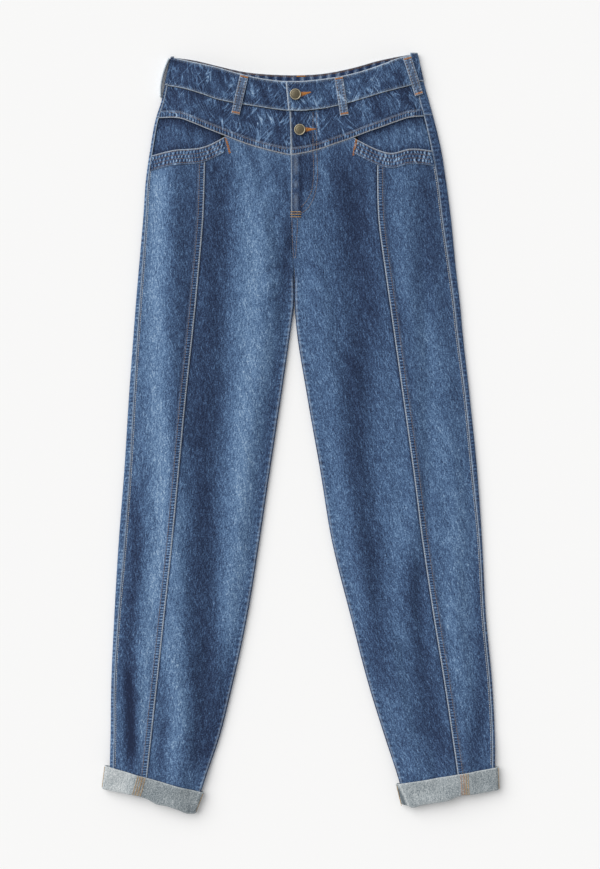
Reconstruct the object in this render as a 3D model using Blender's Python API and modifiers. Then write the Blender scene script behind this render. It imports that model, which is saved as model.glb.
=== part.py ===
"""High-waisted mom jeans with rolled cuffs, laid flat on their back.

The front faces +Z, the waist points to +Y, and the underside lies on Z = 0.
Left and right are the wearer's: the wearer's left leg lies at +X.
All sizes are in millimetres until a mesh is made.
"""

import math

import bmesh
import bpy
import numpy as np

MM = 0.001
CENTRE = np.array([0.83, 1.28, 0.0])  # the middle of the whole garment on the floor, in its own sizes

# Cloth thicknesses and seams
DENIM = 1.2
BAND = 2.7
FACING = 1.1
LOOP_CLOTH = 1.8
CUFF_CLOTH = 2.6
SEAM_GAP = 0.3
WAIST_GAP = 0.7  # under the waistband, whose thicker wall leans over the seam at the sides
FOLD = 3.2  # outer radius of the fold at a side or an inseam
BAND_PROUD = 1.5  # how far the waistband stands above the yoke
FELL_WIDTH = 9.0  # the turned-under seam allowance that shows as a raised strip
FELL_HEIGHT = 0.8
FACING_DROP = 1.0  # the pocket's facing hangs this far below the wall in front of it
BAND_LAYER = 1.0  # the pocket edge's second layer
FLY_RISE = 2.2  # how far the left front stands up where it lies over the right one
FLY_UNDERLAP = 8.0
WAIST_LAP = 27.0
COLUMN = 14.0  # spacing of the points along the waistband and yoke
COLUMN_MARGIN = 7.0
FIRST_ANGLE = 12  # degrees round the inseam's fold, from its middle to each panel's edge
BACK_COLUMNS = (0.17, 0.34, 0.5, 0.65, 0.8, 0.9)
PANEL_COLUMNS_TO_TIP = 3  # the centre panel's points from its seam to the pocket's upper end

# Places on the garment
CROTCH_Y = 225.0
CROTCH_GAPE = 0.5  # the front and back part slightly where four panels meet
CENTRE_BACK_X = -8.5
WAISTBAND_DEPTH = 39.0
POCKET_BAND_DEPTH = 21.0
FLY_END_Y = 300.0
LEG_END = 3.0  # the leg's cloth stops this far above the cuff's lower edge

# Each leg's outline, a row for each height.
# Columns: height, outer edge, side seam's distance in from it, panel seam, inner edge.
RIGHT_OUTLINE = (
    (522, -176.0, 4.2, -129.0, -8.5),
    (480, -185.5, 4.2, -129.0, -8.5),
    (455, -191.0, 4.2, -129.0, -8.5),
    (435, -197.5, 4.2, -129.0, -8.5),
    (390, -206.0, 4.2, -129.2, -8.5),
    (350, -211.7, 4.2, -130.2, -8.5),
    (300, -215.2, 4.8, -131.9, -8.5),
    (225, -221.7, 6.2, -138.1, -8.5),
    (170, -226.3, 6.7, -143.2, -8.9),
    (150, -227.8, 6.9, -145.2, -11.6),
    (50, -235.2, 8.2, -155.8, -25.9),
    (-50, -241.5, 8.9, -165.1, -41.0),
    (-150, -249.3, 9.6, -174.5, -55.9),
    (-250, -255.2, 6.9, -185.4, -72.1),
    (-350, -259.6, 5.5, -196.3, -93.6),
    (-420, -260.4, 6.2, -203.9, -111.4),
    (-470, -261.4, 6.2, -209.2, -128.5),
    (-522, -262.0, 6.2, -215.5, -146.0),
)
LEFT_OUTLINE = (
    (522, 161.0, 9.6, 106.0, -7.5),
    (480, 170.8, 11.6, 106.0, -7.5),
    (455, 177.7, 13.0, 106.0, -7.5),
    (435, 183.2, 13.0, 106.0, -7.5),
    (390, 193.9, 13.4, 105.8, -7.5),
    (350, 200.3, 12.5, 105.4, -7.5),
    (300, 206.9, 13.0, 106.7, -7.5),
    (225, 214.4, 9.9, 116.0, -7.5),
    (170, 220.7, 8.9, 123.9, -7.1),
    (150, 222.4, 8.6, 126.7, -5.5),
    (50, 233.3, 7.0, 140.7, 9.9),
    (-50, 243.4, 7.4, 154.7, 27.5),
    (-150, 250.3, 4.6, 167.8, 44.2),
    (-250, 255.5, 4.4, 182.6, 69.2),
    (-350, 264.5, 4.4, 198.8, 95.5),
    (-420, 267.8, 4.4, 209.1, 117.4),
    (-470, 267.4, 4.4, 216.0, 133.8),
    (-522, 265.4, 4.4, 222.0, 148.5),
)

# Seams and edges that run across the front and back, as (x, y) points.
FRONT_TOP = (
    (-190, 520), (-177, 517), (-147, 509), (-113, 501), (-81, 492), (-57, 486.5), (-22, 482),
    (0, 481.5), (32, 485), (52, 488), (80, 494.5), (109, 504), (138, 515.5), (153, 520), (165, 523),
)
WAIST_SEAM = (
    (-200, 480), (-186, 478), (-165, 474), (-136, 465), (-113, 457), (-95, 453), (-57, 447), (-22, 442),
    (3, 441), (32, 444.5), (52, 448.5), (80, 456), (109, 465), (148, 476), (160, 480), (180, 484),
)
YOKE_SEAM = (
    (-205, 433), (-195, 433), (-179, 433), (-165, 431.5), (-147, 425), (-125, 416), (-102, 407), (-79, 398),
    (-57, 391), (-34, 385), (-12, 381), (4, 383), (32, 390.5), (52, 397.5), (71, 404), (90, 411.5),
    (110, 418.5), (128, 425), (148, 432), (167, 435), (190, 437.5),
)
BACK_TOP = (
    (-190, 519), (-177, 517), (-147, 513), (-113, 505), (-80, 497.5), (-34, 493), (0, 492.5),
    (32, 494.5), (71, 502), (109, 512.5), (138, 518.5), (161, 522), (175, 523.5),
)
RIGHT_POCKET_EDGE = (
    (-210, 380.5), (-203, 382), (-185, 386), (-167, 388.5), (-150, 389.5), (-137, 391),
    (-127, 394), (-115, 399.5), (-103, 406), (-98, 409),
)
LEFT_POCKET_EDGE = (
    (70, 407), (74, 404.5), (88, 397), (98, 392), (106, 388.5), (117, 385), (126, 384),
    (136, 386), (146, 389), (160, 390), (178, 388.5), (185, 388),
)
# The free edge of the fly, as (y, x) points up the front.
FLY_EDGE = ((225, -8.0), (250, -11.5), (300, -12.2), (380, -12.6), (440, -14.4), (482, -17.0))
BAND_END = ((435, -16.0), (440, -16.2), (482, -19.6), (490, -20.2))
BACK_YOKE_CENTRE_Y = 392.0
BACK_YOKE_RIGHT_Y = 434.0
BACK_YOKE_LEFT_Y = 437.0

# How far the front stands above its side folds, as (height, rise) points.
LOFT = ((-522, 2.6), (-440, 3.6), (-300, 6.0), (0, 6.6), (225, 7.6), (350, 9.6), (440, 10.2), (522, 9.0))

# The largest folds of the front, each a soft ridge or trough down the cloth.
# Columns: height at its middle, half width, upper end, lower end, its line as (y, x) points.
FOLDS = (
    (6.0, 21.0, 420, -560, ((380, -181), (225, -178), (120, -176), (-22, -173), (-297, -167), (-420, -160))),
    (-4.0, 18.0, 400, -470, ((347, -104), (45, -104), (-92, -115), (-228, -116), (-297, -124), (-365, -131))),
    (3.6, 17.0, 340, -240, ((291, -52), (182, -44), (45, -60), (-22, -69), (-92, -74), (-228, -80))),
    (-2.6, 8.0, -230, -500, ((-250, -232), (-420, -236), (-480, -238))),
    (2.4, 11.0, -280, -560, ((-300, -222), (-420, -226), (-500, -228))),
    (4.2, 17.0, 300, -300, ((250, 14), (182, 26), (114, 36), (45, 46), (-92, 65), (-160, 76), (-228, 92))),
    (-4.0, 17.0, 380, -260, ((347, 76), (182, 83), (114, 92), (45, 96), (-92, 103), (-228, 112))),
    (3.4, 15.0, 390, -300, ((347, 140), (182, 150), (45, 153), (-92, 156), (-228, 146))),
    (-2.4, 9.0, 340, -500, ((300, 168), (45, 176), (-92, 176), (-228, 165), (-365, 176), (-440, 188))),
    (3.0, 13.0, 120, -500, ((50, 206), (-92, 216), (-297, 218), (-440, 230))),
    (3.2, 14.0, -240, -520, ((-260, 118), (-365, 134), (-440, 150))),
)

# The cuffs: each edge runs from its outer end to its inner end, as (x, y) points.
RIGHT_CUFF = {"top": ((-268.5, -455.0), (-131.5, -492.5)), "bottom": ((-272.5, -487.0), (-142.5, -520.5))}
LEFT_CUFF = {"top": ((272.5, -457.0), (131.5, -481.0)), "bottom": ((274.0, -488.5), (138.5, -512.0))}
CUFF_COLUMNS = (0.15, 0.27, 0.4, 0.53, 0.66, 0.78, 0.88)
CUFF_LIP = 4.2  # the turned lower edge reaches this far in
CUFF_ROUND = 6.6  # outer radius of the roll at each end of a cuff
CUFF_LIFT = 3.0  # the leg rides up on to the cuff's lower layer
LIFT_LENGTH = 45.0
LIFT_CLEAR = 14.0  # the lift is complete this far above the cuff

# How the front rises from the folds at its edges
OUTER_RISE = 26.0
INNER_RISE = 22.0
LEAST_RISE = 0.4

# The fly's stitched strip beside its free edge, and the groove behind it
FLY_STRIP = {"width": 11.5, "height": 0.5, "edge": 2.0}
FLY_GROOVE = {"at": 13.7, "depth": 0.4, "width": 1.3}
FLY_COLUMNS = (16.0, 13.5, 11.5, 5.5)
PLAIN_FLY_COLUMNS = (10.0,)
FLY_LAP = 10.0  # the left front is at its highest this far in from its free edge
LAP_SLOPE = 25.0

# Belt loops: the middle of each end, as (x, y) points.
LOOP_WIDTH = 11.5
LOOPS = {
    "belt_loop_front_right": ((-76.0, 490.0), (-88.4, 436.5)),
    "belt_loop_front_left": ((52.6, 487.5), (60.8, 435.0)),
    "belt_loop_side_left": ((146.5, 516.0), (163.3, 464.0)),
}
SIDE_LOOP_ENDS = (515.0, 462.0)
SIDE_LOOP_WIDTH = 10.0
SIDE_LOOP_BOW = 3.6
LOOP_BOW = 1.3
LOOP_SHARES = (0, 0.07, 0.2, 0.38, 0.56, 0.7, 0.78, 0.88, 1.0)
SIDE_LOOP_SHARES = (0, 0.08, 0.22, 0.4, 0.6, 0.78, 0.92, 1.0)

# Buttons
BUTTON_RADIUS = 7.8
# The cloth under each button stands this far above the plain front.
BUTTON_GROUND = {"button_waistband": 3.0, "button_yoke": 2.2}
# Columns: distance from the button's axis as a share of its radius, and height.
BUTTON_PROFILE = (
    (0.0, 4.3), (0.45, 4.1), (0.78, 3.6), (0.86, 3.9), (0.95, 3.9), (1.0, 3.3),
    (0.97, 2.4), (0.6, 2.0), (0.4, 1.8), (0.37, 0.0), (0.0, 0.0),
)
BUTTON_STEPS = 20
BUTTONS = {"button_waistband": (-6.2, 462.8), "button_yoke": (-0.3, 415.0)}

DENIM_BLUE = (0.075, 0.155, 0.33)
FADED_BLUE = (0.10, 0.19, 0.37)
INSIDE_GREY = (0.42, 0.50, 0.55)
BRASS = (0.27, 0.22, 0.14)


def through(points, at):
    """A smooth curve through (place, value) points, read at the given places."""
    places, values = np.array(sorted(points), float).T
    slopes = np.gradient(values, places)
    at = np.clip(np.asarray(at, float), places[0], places[-1])
    i = np.clip(np.searchsorted(places, at) - 1, 0, len(places) - 2)
    span = places[i + 1] - places[i]
    t = (at - places[i]) / span
    start = (1 + 2 * t) * (1 - t) ** 2 * values[i] + t * (1 - t) ** 2 * span * slopes[i]
    return start + t * t * (3 - 2 * t) * values[i + 1] + t * t * (t - 1) * span * slopes[i + 1]


def ease(t):
    """0 before 0, 1 after 1, and a smooth step between."""
    t = np.clip(t, 0, 1)
    return t * t * (3 - 2 * t)


class Leg:
    """One half of the garment, with its outline and its cuff."""

    def __init__(self, name, side, outline, cuff, pocket_edge, pocket_tip, back_yoke_y):
        self.name = name
        self.side = side  # -1 for the wearer's right, at -X, and +1 for the left
        self.cuff = cuff
        self.pocket_edge = pocket_edge
        self.pocket_tip = pocket_tip
        self.back_yoke_y = back_yoke_y
        rows = np.array(outline, float)
        names = ("outer", "inset", "panel_seam", "inner")
        self.curves = {n: list(zip(rows[:, 0], rows[:, k + 1])) for k, n in enumerate(names)}

    def outer(self, y):
        return through(self.curves["outer"], y)

    def side_seam(self, y):
        return self.outer(y) - self.side * through(self.curves["inset"], y)

    def panel_seam(self, y):
        return through(self.curves["panel_seam"], y)

    def inner(self, y):
        return through(self.curves["inner"], np.minimum(y, CROTCH_Y))

    def cuff_line(self, edge, x):
        (x0, y0), (x1, y1) = self.cuff[edge]
        return y0 + (y1 - y0) * (x - x0) / (x1 - x0)


RIGHT = Leg("right", -1, RIGHT_OUTLINE, RIGHT_CUFF, RIGHT_POCKET_EDGE, -103.0, BACK_YOKE_RIGHT_Y)
LEFT = Leg("left", 1, LEFT_OUTLINE, LEFT_CUFF, LEFT_POCKET_EDGE, 74.0, BACK_YOKE_LEFT_Y)


def fold_height(x, y):
    """The sum of the soft ridges and troughs at a place on the front."""
    total = np.zeros(np.broadcast(x, y).shape)
    for height, width, upper, lower, line in FOLDS:
        across = (x - through(line, y)) / width
        along = ease((upper - y) / 60) * ease((y - lower) / 60)
        total += height * np.exp(-(across**2)) * along
    return total


def lift(leg, x, y):
    """How far the leg rises off the floor near its cuff, where it lies on the cuff's lower layer."""
    above = y - leg.cuff_line("top", x)
    return CUFF_LIFT * ease((LIFT_LENGTH + LIFT_CLEAR - above) / LIFT_LENGTH)


def edge_distances(leg, x, y):
    """Distances in from the side fold, and from the inseam's fold or, above it, the crotch."""
    to_outer = leg.side * (leg.outer(y) - x)
    inseam = leg.side * (x - leg.inner(y))
    above_crotch = 0.5 * np.maximum(y - CROTCH_Y, 0)
    at_crotch = CROTCH_GAPE * np.exp(-(((y - CROTCH_Y) / 12) ** 2))
    to_inner = np.hypot(np.hypot(np.maximum(inseam, 0), above_crotch), at_crotch)
    return to_outer, to_inner + np.minimum(inseam, 0)


def bulge(leg, x, y):
    """How far the front rises above the flat top of its side folds."""
    to_outer, to_inner = edge_distances(leg, x, y)
    past_outer = np.maximum(to_outer - FOLD, 0) / OUTER_RISE
    past_inner = np.maximum(to_inner - FOLD, 0) / INNER_RISE
    full = (1 - np.exp(-(past_outer**2))) * (1 - np.exp(-(past_inner**2)))
    return full * np.maximum(through(LOFT, y) + fold_height(x, y), LEAST_RISE)


def side_arc(leg, x, y, proud):
    """Height of the round side fold above or below its middle."""
    radius = FOLD + proud / 2
    distance = np.minimum(*edge_distances(leg, x, y)) + proud / 2
    return radius, np.sqrt(np.maximum(radius**2 - (radius - np.minimum(distance, radius)) ** 2, 0))


def front_z(leg, x, y, proud=0.0):
    """Outer height of the front, standing proud of the plain cloth by the given amount."""
    radius, arc = side_arc(leg, x, y, proud)
    return radius + arc + bulge(leg, x, y) + lift(leg, x, y)


def back_z(leg, x, y, proud=0.0):
    """Outer height of the back, which lies on the floor."""
    radius, arc = side_arc(leg, x, y, proud)
    return radius - arc + lift(leg, x, y)


def fly_rise(x, y, overlap, height):
    """The left front lies over the right front here, so it stands higher near its free edge."""
    past = x - through(FLY_EDGE, y) - overlap
    return height * (1 - ease(past / LAP_SLOPE)) * ease((y - FLY_END_Y + 14) / 16)


def metres(place):
    return (np.asarray(place) - CENTRE) * MM


def material(name, colour, roughness, metallic=0.0):
    found = bpy.data.materials.get(name)
    if found:
        return found
    made = bpy.data.materials.new(name)
    made.use_nodes = True
    shader = made.node_tree.nodes["Principled BSDF"]
    shader.inputs["Base Color"].default_value = (*colour, 1)
    shader.inputs["Roughness"].default_value = roughness
    shader.inputs["Metallic"].default_value = metallic
    return made


def add_object(name, bm, finish, collection):
    mesh = bpy.data.meshes.new(name)
    bm.to_mesh(mesh)
    bm.free()
    mesh.shade_smooth()
    mesh.materials.append(finish)
    made = bpy.data.objects.new(name, mesh)
    collection.objects.link(made)
    return made


def cloth(name, points, thickness, faces_up, finish, collection):
    """A grid bent to rows of outer points, then thickened inwards to a wall."""
    rows, columns = points.shape[:2]
    bm = bmesh.new()
    bmesh.ops.create_grid(bm, x_segments=columns - 1, y_segments=rows - 1, size=1)
    for vertex, place in zip(bm.verts, points.reshape(-1, 3)):
        vertex.co = metres(place)
    bm.normal_update()
    up = sum(face.normal.z * face.calc_area() for face in bm.faces)
    if (up > 0) != faces_up:
        bmesh.ops.reverse_faces(bm, faces=bm.faces)
    made = add_object(name, bm, finish, collection)
    wall = made.modifiers.new("wall", "SOLIDIFY")
    wall.thickness = thickness * MM
    wall.offset = -1
    wall.use_rim = True
    return made


def with_height(x, y, z):
    return np.stack(np.broadcast_arrays(x, y, z), axis=-1)


def crossing(curve, start, end):
    """Where a curve x(y) crosses the straight rows from start to end, each as (x, y) arrays."""
    x = curve(start[1])
    for _ in range(6):
        share = (x - start[0]) / (end[0] - start[0])
        y = start[1] + (end[1] - start[1]) * share
        x = curve(y)
    return x, y


def spread(start, end, near_start, shares, near_end):
    """Places along each row. near_start and near_end are distances in from its ends."""
    length = np.hypot(end[0] - start[0], end[1] - start[1])[:, None]
    ones = np.ones_like(length)
    parts = (np.array(near_start) / length, ones * np.array(shares), 1 - np.array(near_end) / length)
    share = np.concatenate(parts, axis=1)
    x = start[0][:, None] + (end[0] - start[0])[:, None] * share
    y = start[1][:, None] + (end[1] - start[1])[:, None] * share
    return x, y


HIP_HEIGHTS = np.array([350.0, 330.0, 303.0, 276.0, 252.0, 236.0])
EDGE_DROPS = np.array([SEAM_GAP, POCKET_BAND_DEPTH / 2, POCKET_BAND_DEPTH])
LEG_ROWS = np.concatenate([[0, 0.015, 0.06, 0.12], np.linspace(0.19, 0.83, 9), [0.895, 0.93, 0.965, 1.0]])


def leg_rows(leg):
    """The outer and inner ends of each row from the crotch to the hem, which ends level with the cuff."""
    ends = []
    for curve in (leg.outer, leg.inner):
        hem_y = -500.0
        for _ in range(8):
            hem_y = leg.cuff_line("bottom", curve(hem_y)) + LEG_END
        y = CROTCH_Y + (hem_y - CROTCH_Y) * LEG_ROWS
        ends.append((curve(y), y))
    return ends


def leg_seams(leg):
    outer, inner = leg_rows(leg)
    side = crossing(leg.side_seam, outer, inner)
    panel = crossing(leg.panel_seam, outer, inner)
    return side, panel, inner


def hip_end(curve, top):
    """Points down a seam, from the panel's top edge to just above the crotch."""
    y = np.array([400.0])
    for _ in range(8):
        y = top(curve(y))
    heights = np.concatenate([y - EDGE_DROPS, HIP_HEIGHTS])
    return curve(heights), heights


def front_grid(leg, start, end, leg_ends, top, columns, relief):
    """Outer points of a front panel from its top edge to the hem, between two seams."""
    hip_x, hip_y = spread(hip_end(start, top), hip_end(end, top), *columns)
    edge_rows = len(EDGE_DROPS)
    hip_y[:edge_rows] = top(hip_x[:edge_rows]) - EDGE_DROPS[:, None]
    leg_x, leg_y = spread(*leg_ends, *columns)
    x, y = np.vstack([hip_x, leg_x]), np.vstack([hip_y, leg_y])
    return with_height(x, y, front_z(leg, x, y) + relief(x, y))


def fly_line(leg, y):
    """The edge of a front at the centre: the right front runs on under the left above the fly's end."""
    if leg is LEFT:
        return through(FLY_EDGE, y)
    return through(FLY_EDGE, y) - SEAM_GAP + FLY_UNDERLAP * ease((y - FLY_END_Y - 6) / 10)


def centre_top(leg, x):
    in_pocket = (x - leg.pocket_tip) * leg.side > 0
    return np.where(in_pocket, through(leg.pocket_edge, x), through(YOKE_SEAM, x))


def centre_grid(leg):
    """The panel from the centre front to the panel seam, and to the inseam below the crotch."""
    side, panel, inner = leg_seams(leg)
    seam_x = float(leg.panel_seam(390))
    tip = (leg.pocket_tip - seam_x) / (float(fly_line(leg, 380)) - seam_x)
    shares = [tip / 2, tip] + list(tip + (0.74 - tip) * np.array([0.25, 0.5, 0.75, 1.0]))
    angles = [math.radians(a) for a in (90, 70, 50, 30, FIRST_ANGLE)]
    fold = [FOLD * (1 - math.cos(a)) for a in angles]
    fly = list(FLY_COLUMNS if leg is LEFT else PLAIN_FLY_COLUMNS)

    def relief(x, y):
        if leg is RIGHT:
            return 0 * x
        from_edge = x - through(FLY_EDGE, y)
        strip = FLY_STRIP["height"] * (1 - ease((from_edge - FLY_STRIP["width"]) / FLY_STRIP["edge"]))
        from_groove = (from_edge - FLY_GROOVE["at"]) / FLY_GROOVE["width"]
        groove = FLY_GROOVE["depth"] * np.exp(-(from_groove**2))
        return fly_rise(x, y, FLY_LAP, FLY_RISE) + (strip - groove) * ease((y - CROTCH_Y - 40) / 30)

    start, end = leg.panel_seam, lambda y: fly_line(leg, y)
    columns = ([SEAM_GAP / 2], shares, fly + fold)
    return front_grid(leg, start, end, (panel, inner), lambda x: centre_top(leg, x), columns, relief)


def side_grid(leg):
    """The panel from the side seam to the panel seam, with the turned seam as a raised strip."""
    side, panel, inner = leg_seams(leg)

    def relief(x, y):
        from_seam = np.abs(x - leg.panel_seam(y))
        below_band = ease((through(leg.pocket_edge, x) - POCKET_BAND_DEPTH - 1 - y) / 4)
        return FELL_HEIGHT * below_band * (1 - ease((from_seam - FELL_WIDTH + 1) / 1.5))

    strip = [FELL_WIDTH + 1, FELL_WIDTH - 1, SEAM_GAP / 2]
    columns = ([SEAM_GAP / 2], [0.09, 0.2, 0.38, 0.58, 0.75], strip)
    top = lambda x: through(leg.pocket_edge, x)
    return front_grid(leg, leg.side_seam, leg.panel_seam, (side, panel), top, columns, relief)


def pocket_band(leg, finish, collection):
    """The stitched edge of the pocket, a second layer made from both front panels' own points."""
    edge_rows = len(EDGE_DROPS)
    centre = centre_grid(leg)[:edge_rows, 1:PANEL_COLUMNS_TO_TIP]
    points = np.concatenate([side_grid(leg)[:edge_rows], centre], axis=1)
    points[:, :, 2] += SEAM_GAP + BAND_LAYER
    return cloth(f"pocket_band_{leg.name}", points, BAND_LAYER, True, finish, collection)


def fixed_columns(start_x, end_x):
    """Level places from one end towards the other that every band and yoke shares."""
    low, high = sorted((start_x, end_x))
    first = math.ceil((low + COLUMN_MARGIN) / COLUMN)
    last = math.floor((high - COLUMN_MARGIN) / COLUMN)
    places = np.arange(first, last + 1) * COLUMN
    return places if start_x < end_x else places[::-1]


def corner_x(side, edge):
    """Where a side x(y) crosses an edge y(x)."""
    x = 0.0
    for _ in range(12):
        x = float(side(edge(x)))
    return x


def band_grid(start, end, lower, upper, row_gaps, row_shares, ends=SEAM_GAP / 2):
    """x and y of a band between two curves y(x), with two curves x(y) as its ends.

    row_gaps are distances up from the lower curve, row_shares are shares of the height, top last.
    """
    corners = [(corner_x(start, edge), corner_x(end, edge)) for edge in (lower, upper)]
    way = math.copysign(ends, corners[0][1] - corners[0][0])
    nearest = max if way > 0 else min
    furthest = min if way > 0 else max
    start_x = nearest(corners[0][0], corners[1][0])
    end_x = furthest(corners[0][1], corners[1][1])
    rows = len(row_gaps) + len(row_shares)
    heights = np.array(list(row_gaps) + list(row_shares))[:, None]
    is_gap = (np.arange(rows) < len(row_gaps))[:, None]
    middle = np.repeat(fixed_columns(start_x, end_x)[None, :], rows, axis=0)
    x = np.concatenate([np.full((rows, 2), start_x), middle, np.full((rows, 1), end_x)], axis=1)
    for _ in range(8):
        low, high = lower(x), upper(x)
        y = np.where(is_gap, low + heights, low + (high - low) * heights)
        x[:, 0] = start(y[:, 0]) + way
        x[:, -1] = end(y[:, -1]) - way
        x[:, 1] = (x[:, 0] + x[:, 2]) / 2
    return x, y


def front_yoke(leg, finish, collection):
    """The pointed yoke between the waistband and the yoke seam, with its lower edge turned and raised."""
    lower = lambda x: through(YOKE_SEAM, x)
    upper = lambda x: through(WAIST_SEAM, x) - WAIST_GAP
    gaps = [0.0, FELL_WIDTH - 1, FELL_WIDTH + 1]
    x, y = band_grid(leg.side_seam, lambda y: fly_line(leg, y), lower, upper, gaps, [0.45, 0.7, 1.0])
    strip = FELL_HEIGHT * (1 - ease((y - lower(x) - FELL_WIDTH + 1) / 1.5))
    z = front_z(leg, x, y) + strip
    if leg is LEFT:
        z += fly_rise(x, y, FLY_LAP, FLY_RISE)
    return cloth(f"front_yoke_{leg.name}", with_height(x, y, z), DENIM, True, finish, collection)


def waistband_front(leg, finish, collection):
    """Half of the front waistband. The left half laps over the right one at the button."""
    lap = 0 if leg is LEFT else WAIST_LAP
    lower = lambda x: through(WAIST_SEAM, x)
    upper = lambda x: through(FRONT_TOP, x)
    end = lambda y: through(BAND_END, y) + lap
    x, y = band_grid(leg.side_seam, end, lower, upper, [0.0], [0.35, 0.7, 1.0])
    z = front_z(leg, x, y, BAND_PROUD)
    if leg is LEFT:
        z += (BAND + SEAM_GAP) * (1 - ease((x - through(BAND_END, y) - WAIST_LAP) / LAP_SLOPE))
    return cloth(f"waistband_front_{leg.name}", with_height(x, y, z), BAND, True, finish, collection)


def pocket_facing(leg, finish, collection):
    """The piece that shows above the pocket's edge. It runs under the yoke and the pocket's edge."""
    end = lambda y: leg.pocket_tip + leg.side * 5 + 0 * y
    lower = lambda x: through(leg.pocket_edge, x) - 8
    upper = lambda x: through(YOKE_SEAM, x) + 4
    x, y = band_grid(leg.side_seam, end, lower, upper, [0.0], [0.2, 0.4, 0.6, 0.8, 1.0])
    u = np.linspace(0, math.pi, x.shape[1])[None, :]
    v = np.linspace(0, math.pi, x.shape[0])[:, None]
    drop = DENIM + FACING_DROP + 2.0 * np.sin(u) * np.sin(v)
    points = with_height(x, y, front_z(leg, x, y) - drop)
    return cloth(f"pocket_facing_{leg.name}", points, FACING, True, finish, collection)


def wrap_columns(proud=0.0):
    """Distances in from the outer edge round the side fold: first under it, then over it."""
    radius = FOLD + proud / 2
    under = [radius * (1 - math.cos(math.radians(a))) for a in (90, 60, 30)]
    over = [radius * (1 - math.cos(math.radians(a))) for a in (0, 30, 60, 90)]
    return np.array(under), np.array(over)


def back_piece(leg, name, middle, outer_y, rows_y, middle_gaps, flat, finish, collection):
    """A back piece from the centre back or inseam, along the floor and round the side fold.

    middle is the x and y of each row's inner end, and rows_y gives the row's heights up the garment.
    """
    under, over = wrap_columns()
    outer_x = leg.outer(outer_y)[:, None]
    middle_x, middle_y = middle[0][:, None], middle[1]
    x_in = middle_x + leg.side * np.array(middle_gaps)
    x_flat = middle_x + (outer_x - middle_x) * np.array(flat)
    low_x = np.concatenate([x_in, x_flat, outer_x - leg.side * under], axis=1)
    x_last = leg.side_seam(outer_y)[:, None] + leg.side * SEAM_GAP / 2
    high_x = np.concatenate([outer_x - leg.side * over, x_last], axis=1)
    share = (low_x - middle_x) / (outer_x - middle_x)
    low_y = rows_y(share, low_x, middle_y, outer_y)
    high_y = np.repeat(outer_y[:, None], high_x.shape[1], axis=1)
    low = with_height(low_x, low_y, back_z(leg, low_x, low_y))
    high = with_height(high_x, high_y, front_z(leg, high_x, high_y))
    return cloth(name, np.concatenate([low, high], axis=1), DENIM, False, finish, collection)


def straight(share, x, middle_y, outer_y):
    return middle_y[:, None] + (outer_y - middle_y)[:, None] * share


def back_panel(leg, finish, collection):
    """The back from the yoke to the hem. It wraps round the side to the side seam on the front."""
    outer, inner = leg_rows(leg)
    tops = np.array([0, 0.3, 0.6, 0.8])
    outer_top, middle_top = leg.back_yoke_y - SEAM_GAP, BACK_YOKE_CENTRE_Y - SEAM_GAP
    outer_y = np.concatenate([outer_top + (HIP_HEIGHTS[0] - outer_top) * tops, HIP_HEIGHTS, outer[1]])
    middle_y = np.concatenate([middle_top + (HIP_HEIGHTS[0] - middle_top) * tops, HIP_HEIGHTS])
    middle_x = np.concatenate([CENTRE_BACK_X + leg.side * SEAM_GAP / 2 + 0 * middle_y, inner[0]])
    middle_y = np.concatenate([middle_y, inner[1]])
    fold = [FOLD * (1 - math.cos(math.radians(a))) for a in (FIRST_ANGLE, 37, 63, 90)]
    name, middle, flat = f"back_{leg.name}", (middle_x, middle_y), (0.3, 0.55, 0.78)
    return back_piece(leg, name, middle, outer_y, straight, fold, flat, finish, collection)


def back_top(x):
    """The back waistband's top edge, level past the sides."""
    return through(BACK_TOP, np.clip(x, RIGHT.outer(500), LEFT.outer(500)))


def back_yoke(leg, finish, collection):
    shares = np.array([0, 0.34, 0.67, 1.0])
    waist_side = float(back_top(leg.outer(500))) - WAISTBAND_DEPTH - WAIST_GAP
    waist_centre = float(back_top(CENTRE_BACK_X)) - WAISTBAND_DEPTH - SEAM_GAP
    outer_y = leg.back_yoke_y + (waist_side - leg.back_yoke_y) * shares
    middle_y = BACK_YOKE_CENTRE_Y + (waist_centre - BACK_YOKE_CENTRE_Y) * shares
    middle_x = CENTRE_BACK_X + leg.side * SEAM_GAP / 2 + 0 * middle_y

    def rows_y(share, x, middle_y, outer_y):
        chord = waist_centre + (waist_side - waist_centre) * share
        waist = back_top(x) - WAISTBAND_DEPTH - SEAM_GAP
        return straight(share, x, middle_y, outer_y) + (waist - chord) * shares[:, None]

    name, middle = f"back_yoke_{leg.name}", (middle_x, middle_y)
    return back_piece(leg, name, middle, outer_y, rows_y, [0.0], BACK_COLUMNS, finish, collection)


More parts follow.
